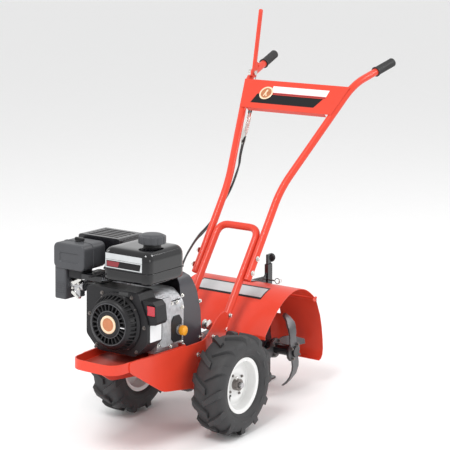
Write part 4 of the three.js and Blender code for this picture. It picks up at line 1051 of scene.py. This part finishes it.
class TILLER_OT_tines(bpy.types.Operator):
    """Tine blades and their shaft"""

    bl_idname = "tiller.tines"
    bl_label = "Tines"

    def execute(self, context):
        refined("tine_shaft", "black_enamel", 1.0)
        for side in ("left", "right"):
            for place in ("inner", "outer"):
                refined(f"tine_blade_{side}_{place}", "tine_steel", 1.4, 24)
        for side, name in ((1, "left"), (-1, "right")):
            for row, x, turn in (("outer", 166, 12 if side > 0 else 147),
                ("inner", 92, 102 if side > 0 else 57)):
                face = side * (x + BLADE_FACE)
                spots = []
                for i in range(4):
                    angle = math.radians(turn + 45 + 90 * i)
                    spots.append(((face, 27 * math.cos(angle), 27 * math.sin(angle)), (side, 0, 0)))
                bolts(f"blade_bolts_{name}_{row}", spots, 4.2, "tine_rotor", group_place(0, TINE_Y, TINE_Z),
                    "exhaust_steel")
        return {"FINISHED"}


class TILLER_OT_guards(bpy.types.Operator):
    """Tine hood, rear flap, hinge rod and depth stake"""

    bl_idname = "tiller.guards"
    bl_label = "Hood, Flap and Stake"

    def execute(self, context):
        line = hood_line()
        under = inward(line, 2.5)
        skin = prism("x", [tuple(p) for p in [*line, *under[::-1]]], -HOOD_HALF, HOOD_HALF)
        piece("tine_hood_skin", skin, "powder_coat", "chassis", edge=0.8, sharp=60, replaces=["tine_hood"])
        start = line[0]
        lip = [(start.x + dy, start.y + dz) for dy, dz in ((0, 0), (2.5, -1), (2.5, -12), (-0.2, -12))]
        seat = line[0].y - 45
        inner = [tuple(p) for p in inward(line, 1.5)[4:33]]
        web = [*inner, (TINE_Y - 10, seat), (inner[0][0] + 10, seat)]
        for side, name in ((1, "left"), (-1, "right")):
            # The webs inside the hood are in the darker paint: painted shade.
            piece(f"tine_hood_web_{name}", prism("x", web, side * 42.3, side * 45.3), "powder_coat_shade",
                "chassis", edge=0.5)
            rim = eased([(-22, 6), (-9, 8), (8, 8), (8, -8), (-10, -8)], 5, 5)
            lug = prism("x", [(p.x + HINGE[0], p.y + HINGE[1]) for p in rim], side * 198.4, side * HOOD_HALF)
            piece(f"tine_hood_lug_{name}", lug, "powder_coat", "chassis", edge=0.5)
        piece("tine_hood_lip", prism("x", lip, -HOOD_HALF, HOOD_HALF), "powder_coat", "chassis", edge=0.5)
        for node, finish, edge in (
            ("rear_flap", "powder_coat", 0.5), ("flap_hinge_rod", "zinc_plate", 0.8),
            ("depth_stake", "black_enamel", 1.2),
            ("stake_guide", "black_enamel", 1.0), ("stake_pin", "zinc_plate", 0.6),
        ):
            refined(node, finish, edge)
        loop = [(48, 9 * math.cos(a), 9 * math.sin(a)) for a in [math.radians(12 * i) for i in range(31)]]
        piece("stake_pin_ring", piped(loop, 1.2, 10), "zinc_plate", "pin", group_place(0, 533, 362))
        knob = [(0, 0), (9, 0.6), (14, 3), (15.4, 7), (14.6, 11), (10, 14), (0, 14.6)]
        piece("stake_knob", spun("y", knob, 40), "black_moulding", "stake", group_place(0, 543, 438))
        for name, first, last, low, high, finish, proud in (
            ("hood_label_border", 13, 22, -154, 118, "label_black", 0.35),
            ("hood_label", 14, 21, -150, 114, "label_silver", 0.6),
        ):
            strip = line[first:last]
            outline = [tuple(p) for p in [*inward(strip, -proud), *inward(strip, -0.05)[::-1]]]
            piece(name, prism("x", outline, low, high), finish, "chassis")
        return {"FINISHED"}


# ------------------------------------------------------------------ frame

ROLLER_INNER, ROLLER_LENGTH = 72, 21


def flat_ends(share):
    """A tube pressed flat at both ends, where it is bolted."""
    return (0.46, 1.3) if share < 0.012 or share > 0.988 else (1, 1)


class TILLER_OT_frame(bpy.types.Operator):
    """Engine tray, side plates, gear case, handle bracket and their bolts"""

    bl_idname = "tiller.frame"
    bl_label = "Frame"

    def execute(self, context):
        refined("engine_deck", "powder_coat", 1.6)
        # A thin liner just over the tray's floor in the darker paint: painted shade under the engine.
        half = [(58, -454), (74, -440), (80, -420), (90, -264)]
        shade_liner = prism("z", [(-58, -454), *half, *[(-x, y) for x, y in half[:0:-1]]], -19.9, -19.2)
        piece("engine_tray_painted_shade", shade_liner, "powder_coat_shade", "chassis", ENGINE)
        for name in ("left", "right"):
            refined(f"frame_side_{name}", "powder_coat", 1.0)
        for name in ("left", "right"):
            refined(f"gear_case_{name}", "cover_satin", 1.4)
        bracket = eased(
            [(79, 112, 284), (79, 346, 590), (-79, 346, 590), (-79, 112, 284)], 40, 14, closed=False)
        piece("handle_bracket_tube", piped(dense(bracket), 12.5, 28, flat_ends), "powder_coat", "chassis",
            edge=0.5, sharp=60, replaces=["handle_bracket"])
        for side, name in ((1, "left"), (-1, "right")):
            for group, x, spots, size in (
                ("bracket_bolts", 91.6, ((122, 297), (152, 336)), 6.2),
                ("handle_bolts", 117.6, ((246, 462), (276, 505)), 6.4),
                ("frame_bolts", 112.4, ((-64, 262), (20, 300)), 5.4),
            ):
                bolts(
                    f"{group}_{name}", [((side * x, y, z), (side, 0, 0)) for y, z in spots], size, "chassis")
            spots = [
                ((side * 20, y, z), (0, 0, 1)) for y, z in ((60, 251), (150, 251), (240, 251), (320, 251))]
            bolts(f"gear_case_bolts_{name}", spots, 4.6, "chassis")
            profile = [
                (0, 0), (15, 0), (16.6, 1.2), (16.6, 4), (12, 6), (12, 15), (16.6, 17), (16.6, 20),
                (15, ROLLER_LENGTH), (0, ROLLER_LENGTH),
            ]
            start = ROLLER_INNER if side > 0 else -ROLLER_INNER - ROLLER_LENGTH
            piece(f"frame_roller_{name}", spun("x", profile, 40, (start, 31, 333)), "zinc_plate", "chassis",
                edge=0.3)
        return {"FINISHED"}


def dense(line, step=6.0):
    """Points added along straight runs, so a bar's ends can be shaped."""
    found = [Vector(line[0])]
    for a, b in zip(line, line[1:]):
        a, b = Vector(a), Vector(b)
        count = max(1, int((b - a).length / step))
        found += [a.lerp(b, (i + 1) / count) for i in range(count)]
    return found


# ------------------------------------------------------------------ handles

EMBLEM_AT = (-102, 6, 0)
PANEL = Matrix.Translation((0, 681, 983)) @ Matrix.Rotation(math.radians(48), 4, "X")
GRIP_LENGTH = 100.0


def handle_line(side):
    """One handlebar tube from its bolts to its grip."""
    corners = [(104.7, 234, 438), (106, 437, 712), (214, 735, 1043), (246, 956, 1101)]
    return eased([(side * x, y, z) for x, y, z in corners], 60, 14, closed=False)


class TILLER_OT_handles(bpy.types.Operator):
    """Handlebars, ribbed grips, control panel with its plates, and the drive lever"""

    bl_idname = "tiller.handles"
    bl_label = "Handles"

    def execute(self, context):
        for side, name in ((1, "left"), (-1, "right")):
            line = handle_line(side)
            piece(f"handlebar_{name}_tube", piped(line, 12.7, 32), "powder_coat", "chassis", edge=0.8,
                sharp=60,
                  replaces=[f"handlebar_{name}"])
            end = Vector((side * 246, 956, 1101))
            along = (end - Vector((side * 214, 735, 1043))).normalized()
            start = end - along * GRIP_LENGTH
            rings = 120
            grip = piped([start.lerp(end + along * 3, i / rings) for i in range(rings + 1)], 14.6, 40,
                grip_width)
            piece(f"grip_{name}_sleeve", grip, "grip_rubber", "chassis", edge=0.4, sharp=70,
                replaces=[f"grip_{name}"])
        refined("handle_panel", "powder_coat", 1.0)
        emblem = spun("z", [(0, 16.1), (20.6, 16.1), (21, 15.9), (21, 15.2), (0, 15.2)], 64)
        bead = closed_ring([(21, 15.1), (27, 15.1), (27, 16.0), (26, 16.6), (22.4, 16.6), (21, 16.2)])
        self.plate("panel_emblem_disc", emblem.shifted(*EMBLEM_AT), "label_copper")
        self.plate("panel_emblem_rim", spun("z", bead, 64, EMBLEM_AT), "label_cream")
        mark = prism("z", [(-8, -14), (-2, 12), (2, 15), (5, 10), (1, 0), (8, -14), (3, -14), (-1, -4),
            (-4, -14)], 16.0, 16.9)
        self.plate("panel_emblem_mark", mark.shifted(*EMBLEM_AT), "label_cream")
        for name, outline, face, finish in (
            ("panel_white_stripe", [(-84, 10), (140, 10), (144, 37), (-84, 37)], 15.8, "label_white"),
            ("panel_red_line", [(-78, 3), (139, 3), (140, 8), (-78, 8)], 15.7, "label_red"),
            ("panel_black_stripe", [(-150, -38), (108, -38), (132, 1), (-136, 1)], 15.8, "label_black"),
        ):
            self.plate(name, prism("z", outline, 15.1, face), finish)
        refined("control_lever", "powder_coat", 1.4)
        start, end = Vector((-191, 736, 1086)), Vector((-191, 776.4, 1279))
        bar = [start.lerp(end, i / 30) for i in range(31)]
        piece("control_lever_bar", piped(bar, 9.5, 24, lever_width), "powder_coat", "lever", edge=0.5,
            sharp=60)
        refined("lever_pivot", "zinc_plate", 0.8)
        stop = [(590, 884), (604, 892), (626, 832), (612, 815), (594, 822)]
        piece("cable_stop", prism("x", stop, -157.5, -154.5), "zinc_plate", "chassis", edge=0.5)
        for name, exit_at, lever_end in (
            ("forward", FORWARD_CABLE[0], (-191, 742, 1044)), ("reverse", REVERSE_CABLE[0],
            (-191, 757, 1072)),
        ):
            bottom, top = Vector(exit_at), Vector(lever_end)
            line = [bottom.lerp(top, i / 24) for i in range(25)]
            wire = object_of(f"{name}_inner_wire", piped(line, 1.0, 10), MACHINE)
            wire.data.materials.append(bpy.data.materials["machined_steel"])
            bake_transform(wire, "chassis", "lever", MACHINE @ line[6], MACHINE @ line[20])
        return {"FINISHED"}

    def plate(self, name, shape, finish):
        """A thin plate on the panel's face."""
        piece(name, shape, finish, "chassis", MACHINE @ PANEL, 0.15, 50, 1)


def lever_width(share):
    """A flattened bar with a rounded top."""
    ease = math.sqrt(max(0.04, 1 - ((share - 0.93) / 0.07) ** 2)) if share > 0.93 else 1.0
    return 0.46 * min(1, ease + 0.3), 1.0 * ease


def grip_width(share):
    """Half-width of a grip along its length: a flange, ribs and a rounded end."""
    if share < 0.05:
        wide = 1.22
    elif share > 0.965:
        wide = 1.1 - ((share - 0.965) / 0.035) ** 2 * 0.25
    else:
        wide = 1.0 + 0.075 * (math.sin(share * 2 * math.pi * 16) > 0)
    return wide, wide


# ------------------------------------------------------------------ engine

BLOWER_FRONT, CRANK_Z = -338.0, 106.0
DIPSTICK = ENGINE @ Matrix.Translation((0, -150, 60))


class TILLER_OT_engine(bpy.types.Operator):
    """Crankcase, cylinder head, blower housing, recoil starter, switch and dipstick"""

    bl_idname = "tiller.engine"
    bl_label = "Engine"

    def execute(self, context):
        values = context.scene.tiller_engine
        refined("crankcase", "rough_casting", 1.6)
        refined("cylinder_head", "rough_casting", 0.5)
        refined("blower_housing", "black_moulding", 2.2, segments=3)
        self.recoil(values)
        refined("switch_box", "black_moulding", 1.6)
        refined("switch_rocker", "red_moulding", 1.4)
        stem = spun("x", [(0, 106.3), (9.4, 106.3), (10.4, 108), (10.4, 110), (14, 110.6), (14.4, 112),
            (14.4, 121), (13.4, 123.6),
                          (6, 125.6), (0, 126)], 40)
        piece("dipstick_cap", stem, "amber_moulding", "dipstick", DIPSTICK, replaces=["oil_dipstick"])
        rib = block((109, -1.3, 13.4), (123, 1.3, 15.4))
        ring_of("dipstick_ribs", rib, 14, 0.0, DIPSTICK, "amber_moulding", "dipstick", 0.4)
        piece("dipstick_rod", rod("x", 4.5, 68, 108, edge=1), "machined_steel", "dipstick", DIPSTICK)
        plate = prism("x", rounded_box((-325, 57), (-268, 111), 3), 117.1, 118.0)
        piece("rating_plate", plate, "label_white", "chassis", ENGINE, 0.2)
        # A black pad round the dipstick: painted shadow on the crankcase side.
        shadow_pad = [(-136, 24), (-136, 92), (-150, 108), (-178, 108), (-190, 92), (-190, 36), (-178, 24)]
        piece("dipstick_shadow_pad", prism("x", shadow_pad, 97.6, 101), "black_moulding", "chassis", ENGINE, 1.0)
        cover = rounded_box((-252, 22), (-198, 176), 14)
        piece("crankcase_cover", prism("x", cover, 97.6, 104), "rough_casting", "chassis", ENGINE, 1.6)
        rib = block((97.8, -1.4, -70), (103, 1.4, 70))
        row_of("crankcase_ribs", rib, 4, (0, 14, 0), ENGINE @ Matrix.Translation((0, -242, 98)),
            "rough_casting", "chassis", 0.5)
        spots = (
            (-258, 30), (-258, 162), (-134, 18), (-134, 128), (-192, 14), (-190, 150), (-162, 150),
            (-134, 166),
        )
        bolts("crankcase_bolts", [((98.3, y, z), (1, 0, 0)) for y, z in spots], 4.6, "chassis", ENGINE)
        foot = [((side * 78, y, 10.3), (0, 0, 1)) for side in (-1, 1) for y in (-246, -140)]
        bolts("engine_mount_bolts", foot, 5.4, "chassis", ENGINE)
        spots = ((-76, 24), (76, 24), (-104, 118), (104, 104), (-56, 190), (56, 190))
        shroud = [((x, BLOWER_FRONT - 0.2, z), (0, -1, 0)) for x, z in spots]
        bolts("shroud_bolts", shroud, 4.2, "chassis", ENGINE, "exhaust_steel")
        return {"FINISHED"}

    def recoil(self, values):
        """The recoil starter's cover, ribs, emblem, grip and rope."""
        place = ENGINE @ Matrix.Translation((0, 0, CRANK_Z))
        wall = [
            (84, -341.5), (92, -341.5), (92, -338.6), (80, -338.6), (70, -362), (60, -366), (38, -366),
            (38, -369), (61, -369),
            (72.5, -366),
        ]
        # The cone and the floor between the face ribs are in the darkest black: painted shade in the slots.
        piece("recoil_floor_painted_shade", spun("y", closed_ring(wall), 96), "label_black", "chassis", place,
            replaces=["recoil_cover"])
        lip = [
            (61.5, -368), (61.5, -377), (63, -378.4), (67, -378.2), (72, -375.6), (75, -371), (76.4, -365),
            (73, -364),
            (70, -372), (64, -374),
        ]
        piece("recoil_lip", spun("y", closed_ring(lip), 96), "black_moulding", "chassis", place)
        skirt = [(84.4, -350), (87.4, -350), (90.5, -344), (92.4, -343.4), (92.4, -340.8), (84.4, -340.8)]
        piece("recoil_skirt", spun("y", closed_ring(skirt), 96), "black_moulding", "chassis", place)
        centre = [(0, -379.8), (24, -379.8), (34, -379.2), (38, -378), (41, -377.4), (41, -374.8),
            (30, -374.8), (0, -375)]
        piece("recoil_boss", spun("y", centre, 72), "black_moulding", "chassis", place)
        rim = [(20.5, -381), (22, -382.2), (26.6, -382.2), (28.2, -381), (28.4, -379.6), (20.5, -379.6)]
        piece("recoil_emblem_rim", spun("y", closed_ring(rim), 64), "label_cream", "chassis", place)
        piece("recoil_emblem_disc", spun("y", [(0, -381.4), (18, -381.2), (20.6, -380.8), (20.6, -379.6),
            (0, -379.6)], 56), "label_copper",
              "chassis", place)
        lengthwise = place @ Matrix.Rotation(math.radians(-90), 4, "Z")
        slot_face = prism("x", [(-1.7, 38), (1.7, 38), (3.1, 62.5), (-1.0, 62.5)], 368, 377.4)
        ring_of("recoil_face_ribs", slot_face, values.face_slots, 0.0, lengthwise, "black_moulding",
            "chassis", 0.4)
        side_rib = lofted([
            [(371, -2.1, 68), (371, 2.1, 68), (371, 2.1, 76), (371, -2.1, 76)],
            [(346, -2.3, 77), (346, 2.3, 77), (346, 2.3, 87.4), (346, -2.3, 87.4)],
        ])
        ring_of("recoil_side_ribs", side_rib, values.side_slots, 0.0, lengthwise, "black_moulding", "chassis",
            0.3)
        for name, radius in (("outer", 64.4), ("inner", 41.4)):
            bead = [(radius + dr, y) for dr, y in ((-1.4, -377), (-1.2, -378.8), (0, -379.3), (1.2, -378.8),
                (1.4, -377))]
            piece(f"recoil_bead_{name}", spun("y", closed_ring(bead), 96), "grey_moulding", "chassis", place)
        dash = prism("y", rounded_box((44, -4.4), (60, -1.6), 1), -378.2, -377.2)
        piece("recoil_dash", dash, "label_white", "chassis", place)
        bolts("recoil_bolts", [((88.5 * math.cos(a), -342.2, 88.5 * math.sin(a)), (0, -1, 0)) for a in (0.6,
            2.2, 3.8, 5.3)], 3.2,
              "chassis", place, "exhaust_steel")
        refined("starter_grip", "grip_rubber", 1.8, segments=3)
        line = [Vector((46, -360.65, 158 + i * 1.2)) for i in range(31)]
        rope = object_of("starter_rope", piped(line, 2.1, 12), ENGINE)
        rope.data.materials.append(bpy.data.materials["cable_jacket"])
        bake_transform(rope, "chassis", "starter", ENGINE @ line[14], ENGINE @ line[29])


LABEL_FACE, LABEL_BACK = -330.9, -329.6


class TILLER_OT_fuel(bpy.types.Operator):
    """Fuel tank, filler cap, carburettor and the small levers"""

    bl_idname = "tiller.fuel"
    bl_label = "Fuel System"

    def execute(self, context):
        values = context.scene.tiller_engine
        low, high = (-66, -330), (112, -136)
        levels = [(229, 9), (230, 5), (233, 2), (238, 0.4), (245, 0), (300, 0.3), (310, 1.4), (318, 4),
            (324, 8), (328.4, 13), (330.6, 19),
                  (331.4, 30), (332.2, 46)]
        piece("fuel_tank_shell", raised_box(low, high, 28, levels, 12), "tank_gloss", "chassis", ENGINE,
            replaces=["fuel_tank"])
        seam = [(260.6, 0), (261.2, -3), (265.4, -3), (266, 0)]
        piece("fuel_tank_seam", raised_box(low, high, 28, seam, 12), "tank_gloss", "chassis", ENGINE, 0.5)
        neck = [(0, 329), (29, 329), (28.2, 331.6), (27, 333), (27, 349), (26, 350), (0, 350)]
        piece("fuel_tank_neck", spun("z", neck, 48, (56, -236, 0)), "black_moulding", "chassis", ENGINE)
        self.cap(values)
        for name, outline, proud, finish in (
            ("upper", [(-50, 297), (88, 297), (88, 315), (-50, 315)], 0, "label_silver"),
            ("lower", [(-50, 270), (88, 270), (88, 296), (-50, 296)], 0, "label_silver"),
            ("dark", [(-46, 273), (80, 273), (84, 293), (-46, 293)], 0.3, "label_black"),
            ("red", [(-44, 275), (-2, 275), (4, 291), (-44, 291)], 0.6, "label_red"),
        ):
            shape = prism("y", outline, LABEL_FACE - proud, LABEL_BACK)
            piece(f"tank_label_{name}", shape, finish, "chassis", ENGINE, 0.1, 50, 1)
        refined("carburettor", "machined_steel", 1.0)
        plate = raised_box((-152, -322), (-68, -232), 6, [(230, 0.8), (231, 0), (232.4, 0), (233, 0.8)])
        piece("governor_plate", plate + block((-150, -322.4, 216), (-72, -320.6, 231)), "black_enamel",
            "chassis", ENGINE, 0.4)
        elbow = raised_box((-212, -318), (-150, -262), 12, [(212, 3), (214, 0.6), (216, 0), (236, 0),
            (240.4, 0.4)])
        piece("intake_elbow", elbow, "black_moulding", "chassis", ENGINE)
        for name, finish in (("choke", "zinc_plate"), ("fuel_valve", "zinc_plate"),
            ("throttle", "black_moulding")):
            refined(f"{name}_lever", finish, 0.7)
        line = [(-96, -300, 250), (-120, -300, 236), (-150, -296, 222), (-176, -292, 214)]
        piece("governor_link", piped(dense(line, 8), 1.5, 10), "zinc_plate", "chassis", ENGINE)
        piece("governor_spring", piped(helix((-88, -306, 228), (-150, -302, 214), 4.2, 14, 12), 0.8, 8),
            "zinc_plate", "chassis", ENGINE)
        pipe = smooth_line([(-30, -290, 240), (-44, -296, 226), (-70, -298, 214), (-110, -296, 206),
            (-150, -296, 200)], 8)
        piece("fuel_pipe", piped(pipe, 3.6, 14), "cable_jacket", "chassis", ENGINE)
        spots = [((-184 + dx, -310, 188 + dz), (0, -1, 0)) for dx in (-12, 12) for dz in (-9, 9)]
        bolts("carburettor_bolts", spots, 3, "chassis", ENGINE)
        return {"FINISHED"}

    def cap(self, values):
        """The filler cap, a lobed shell with a hollow over the neck."""
        place = ENGINE @ Matrix.Translation((56, -236, 342.9))
        ring = []
        lobes, steps = values.lobes, 10
        for i in range(lobes * steps):
            share = abs(math.sin(math.pi * i / steps))
            ring.append((2 * math.pi * i / (lobes * steps), 40.2 + 2.8 * share**0.55))
        sections = []
        for height, inset in ((0, 1.6), (0.8, 0.4), (3, 0), (20, 0.2), (23, 1.2), (24.6, 3.4)):
            sections.append([((r - inset) * math.cos(a), (r - inset) * math.sin(a), height) for a, r in ring])
        for height, radius in ((25.2, 35), (26.8, 33.6), (28.4, 30), (29.3, 22), (29.6, 8)):
            sections.append([(radius * math.cos(a), radius * math.sin(a), height) for a, _ in ring])
        outer = lofted(sections)
        outer.faces = [f for f in outer.faces if len(f) < 50 or max(f) >= len(ring) * 9]
        inner = []
        for height, radius in ((0, 29.2), (14, 29.2), (14.4, 10)):
            inner.append([(radius * math.cos(a), radius * math.sin(a), height) for a, _ in ring])
        hollow = lofted(inner)
        hollow.faces = [f[::-1] for f in hollow.faces if len(f) < 50 or max(f) >= len(ring) * 2]
        count, start = len(ring), len(outer.points)
        both = outer + hollow
        both.faces += [[i, (i + 1) % count, start + (i + 1) % count, start + i] for i in range(count)]
        piece("fuel_cap_shell", both, "grey_moulding", "filler_cap", place, 0, replaces=["fuel_cap"])


class TILLER_OT_breathing(bpy.types.Operator):
    """Air cleaner with its knob, and the muffler under its slotted guard"""

    bl_idname = "tiller.breathing"
    bl_label = "Air Cleaner and Muffler"

    def execute(self, context):
        left, right, front, rear = -134, -256, -330, -222
        outline = eased([(right, 240, 0), (left, 240, 0), (left, 322, 0), (right, 322, 0)], 20, 10)
        levels = ((rear, 4), (rear - 2, 1.2), (rear - 6, 0), (front + 20, 0), (front + 4.4, 0.1),
            (front + 2, 1.0), (front + 0.6, 2.6), (front, 4.5))
        middle = Vector(((left + right) / 2, 281, 0))
        sections = [[shrunk(p, middle, inset, depth) for p in outline] for depth, inset in levels]
        for depth, inset in ((front, 0), (front + 2.6, 1.6)):
            recess = eased([(right + 24 + inset, 262 + inset, 0), (left - 20 - inset, 262 + inset, 0),
                            (left - 20 - inset, 294 - inset, 0), (right + 24 + inset, 294 - inset, 0)], 6, 10)
            sections.append([(p.x, depth, p.y) for p in recess])
        shell = lofted(sections)
        piece("air_cleaner_case", shell, "grey_moulding", "chassis", ENGINE, replaces=["air_cleaner"])
        seam = lofted([[shrunk(p, middle, inset, depth) for p in outline] for depth,
            inset in ((-284, 0), (-284, -1.4), (-280, -1.4), (-280, 0))])
        piece("air_cleaner_seam", seam, "grey_moulding", "chassis", ENGINE, 0.5)
        duct = raised_box((right, -326), (right + 46, -258), 9, [(142, 2.5), (143, 1), (146, 0), (238, 0),
            (244, 0)], 8)
        piece("air_cleaner_duct", duct, "grey_moulding", "chassis", ENGINE)
        rib = block((right + 6, -327.2, 0), (right + 40, -325.4, 2.4))
        row_of("air_cleaner_duct_ribs", rib, 6, (0, 0, 7), ENGINE @ Matrix.Translation((0, 0, 158)),
            "grey_moulding", "chassis", 0.4)
        wing = raised_box((-17.6, -6), (17.6, 6), 5.8, [(2.6, 1.2), (3.2, 0.3), (4, 0), (9.6, 0), (11.2, 0.8),
            (12, 2.4)], 8)
        hub = spun("z", [(0, 0), (12.6, 0), (13.2, 0.6), (13.2, 2.6), (12, 3.6), (0, 3.6)], 40)
        piece("air_cleaner_wing", wing + hub, "black_moulding", "filter_knob",
            ENGINE @ Matrix.Translation((-195, -276, 322.3)),
              replaces=["air_cleaner_knob"])
        refined("muffler", "exhaust_steel", 1.6)
        refined("muffler_guard", "black_enamel", 1.0)
        return {"FINISHED"}


def shrunk(point, middle, inset, depth):
    """A point of an (X, Z) outline drawn towards the middle, at a depth along Y."""
    away = Vector(point) - middle
    reach = max(abs(away.x), abs(away.y), 1)
    share = 1 - inset / reach
    return (middle.x + away.x * share, depth, middle.y + away.y * share)


class TILLER_OT_drive(bpy.types.Operator):
    """Belt cover, belt, pulleys and idler"""

    bl_idname = "tiller.drive"
    bl_label = "Belt Drive"

    def execute(self, context):
        refined("belt_cover", "cover_satin", 1.6, segments=3)
        for node, finish, edge in (
            ("drive_pulley", "rough_casting", 0.6), ("driven_pulley", "rough_casting", 0.6),
            ("drive_belt", "grip_rubber", 0.5),
            ("idler_arm", "zinc_plate", 0.6), ("idler_wheel", "machined_steel", 0.6),
        ):
            refined(node, finish, edge)
        spots = [((80.2, y, z), (1, 0, 0)) for y, z in ((-100, 300), (-6, 300), (-6, 420))]
        bolts("belt_cover_bolts", spots, 4.6, "chassis")
        return {"FINISHED"}


# ------------------------------------------------------------------ add-on

OPERATORS = (
    TILLER_OT_finishes, TILLER_OT_stage, TILLER_OT_cables, TILLER_OT_wheels, TILLER_OT_tines,
    TILLER_OT_guards, TILLER_OT_frame,
    TILLER_OT_handles, TILLER_OT_engine, TILLER_OT_fuel, TILLER_OT_breathing, TILLER_OT_drive,
)


class TILLER_PT_panel(bpy.types.Panel):
    """Lists the settings and the steps that build the tiller"""

    bl_idname = "TILLER_PT_panel"
    bl_label = "Tiller"
    bl_space_type = "VIEW_3D"
    bl_region_type = "UI"
    bl_category = "Tiller"

    def draw(self, context):
        for name, group in SETTINGS:
            box = self.layout.box()
            box.label(text=group.__doc__)
            for field in group.__annotations__:
                box.prop(getattr(context.scene, name), field)
        for step in OPERATORS:
            self.layout.operator(step.bl_idname)


def register():
    for name, group in SETTINGS:
        bpy.utils.register_class(group)
        setattr(bpy.types.Scene, name, bpy.props.PointerProperty(type=group))
    for kind in (*OPERATORS, TILLER_PT_panel):
        bpy.utils.register_class(kind)


def unregister():
    for kind in reversed((*OPERATORS, TILLER_PT_panel)):
        bpy.utils.unregister_class(kind)
    for name, group in reversed(SETTINGS):
        delattr(bpy.types.Scene, name)
        bpy.utils.unregister_class(group)


def main():
    register()
    for step in OPERATORS:
        area, name = step.bl_idname.split(".")
        getattr(getattr(bpy.ops, area), name)()


if __name__ == "__main__":
    main()
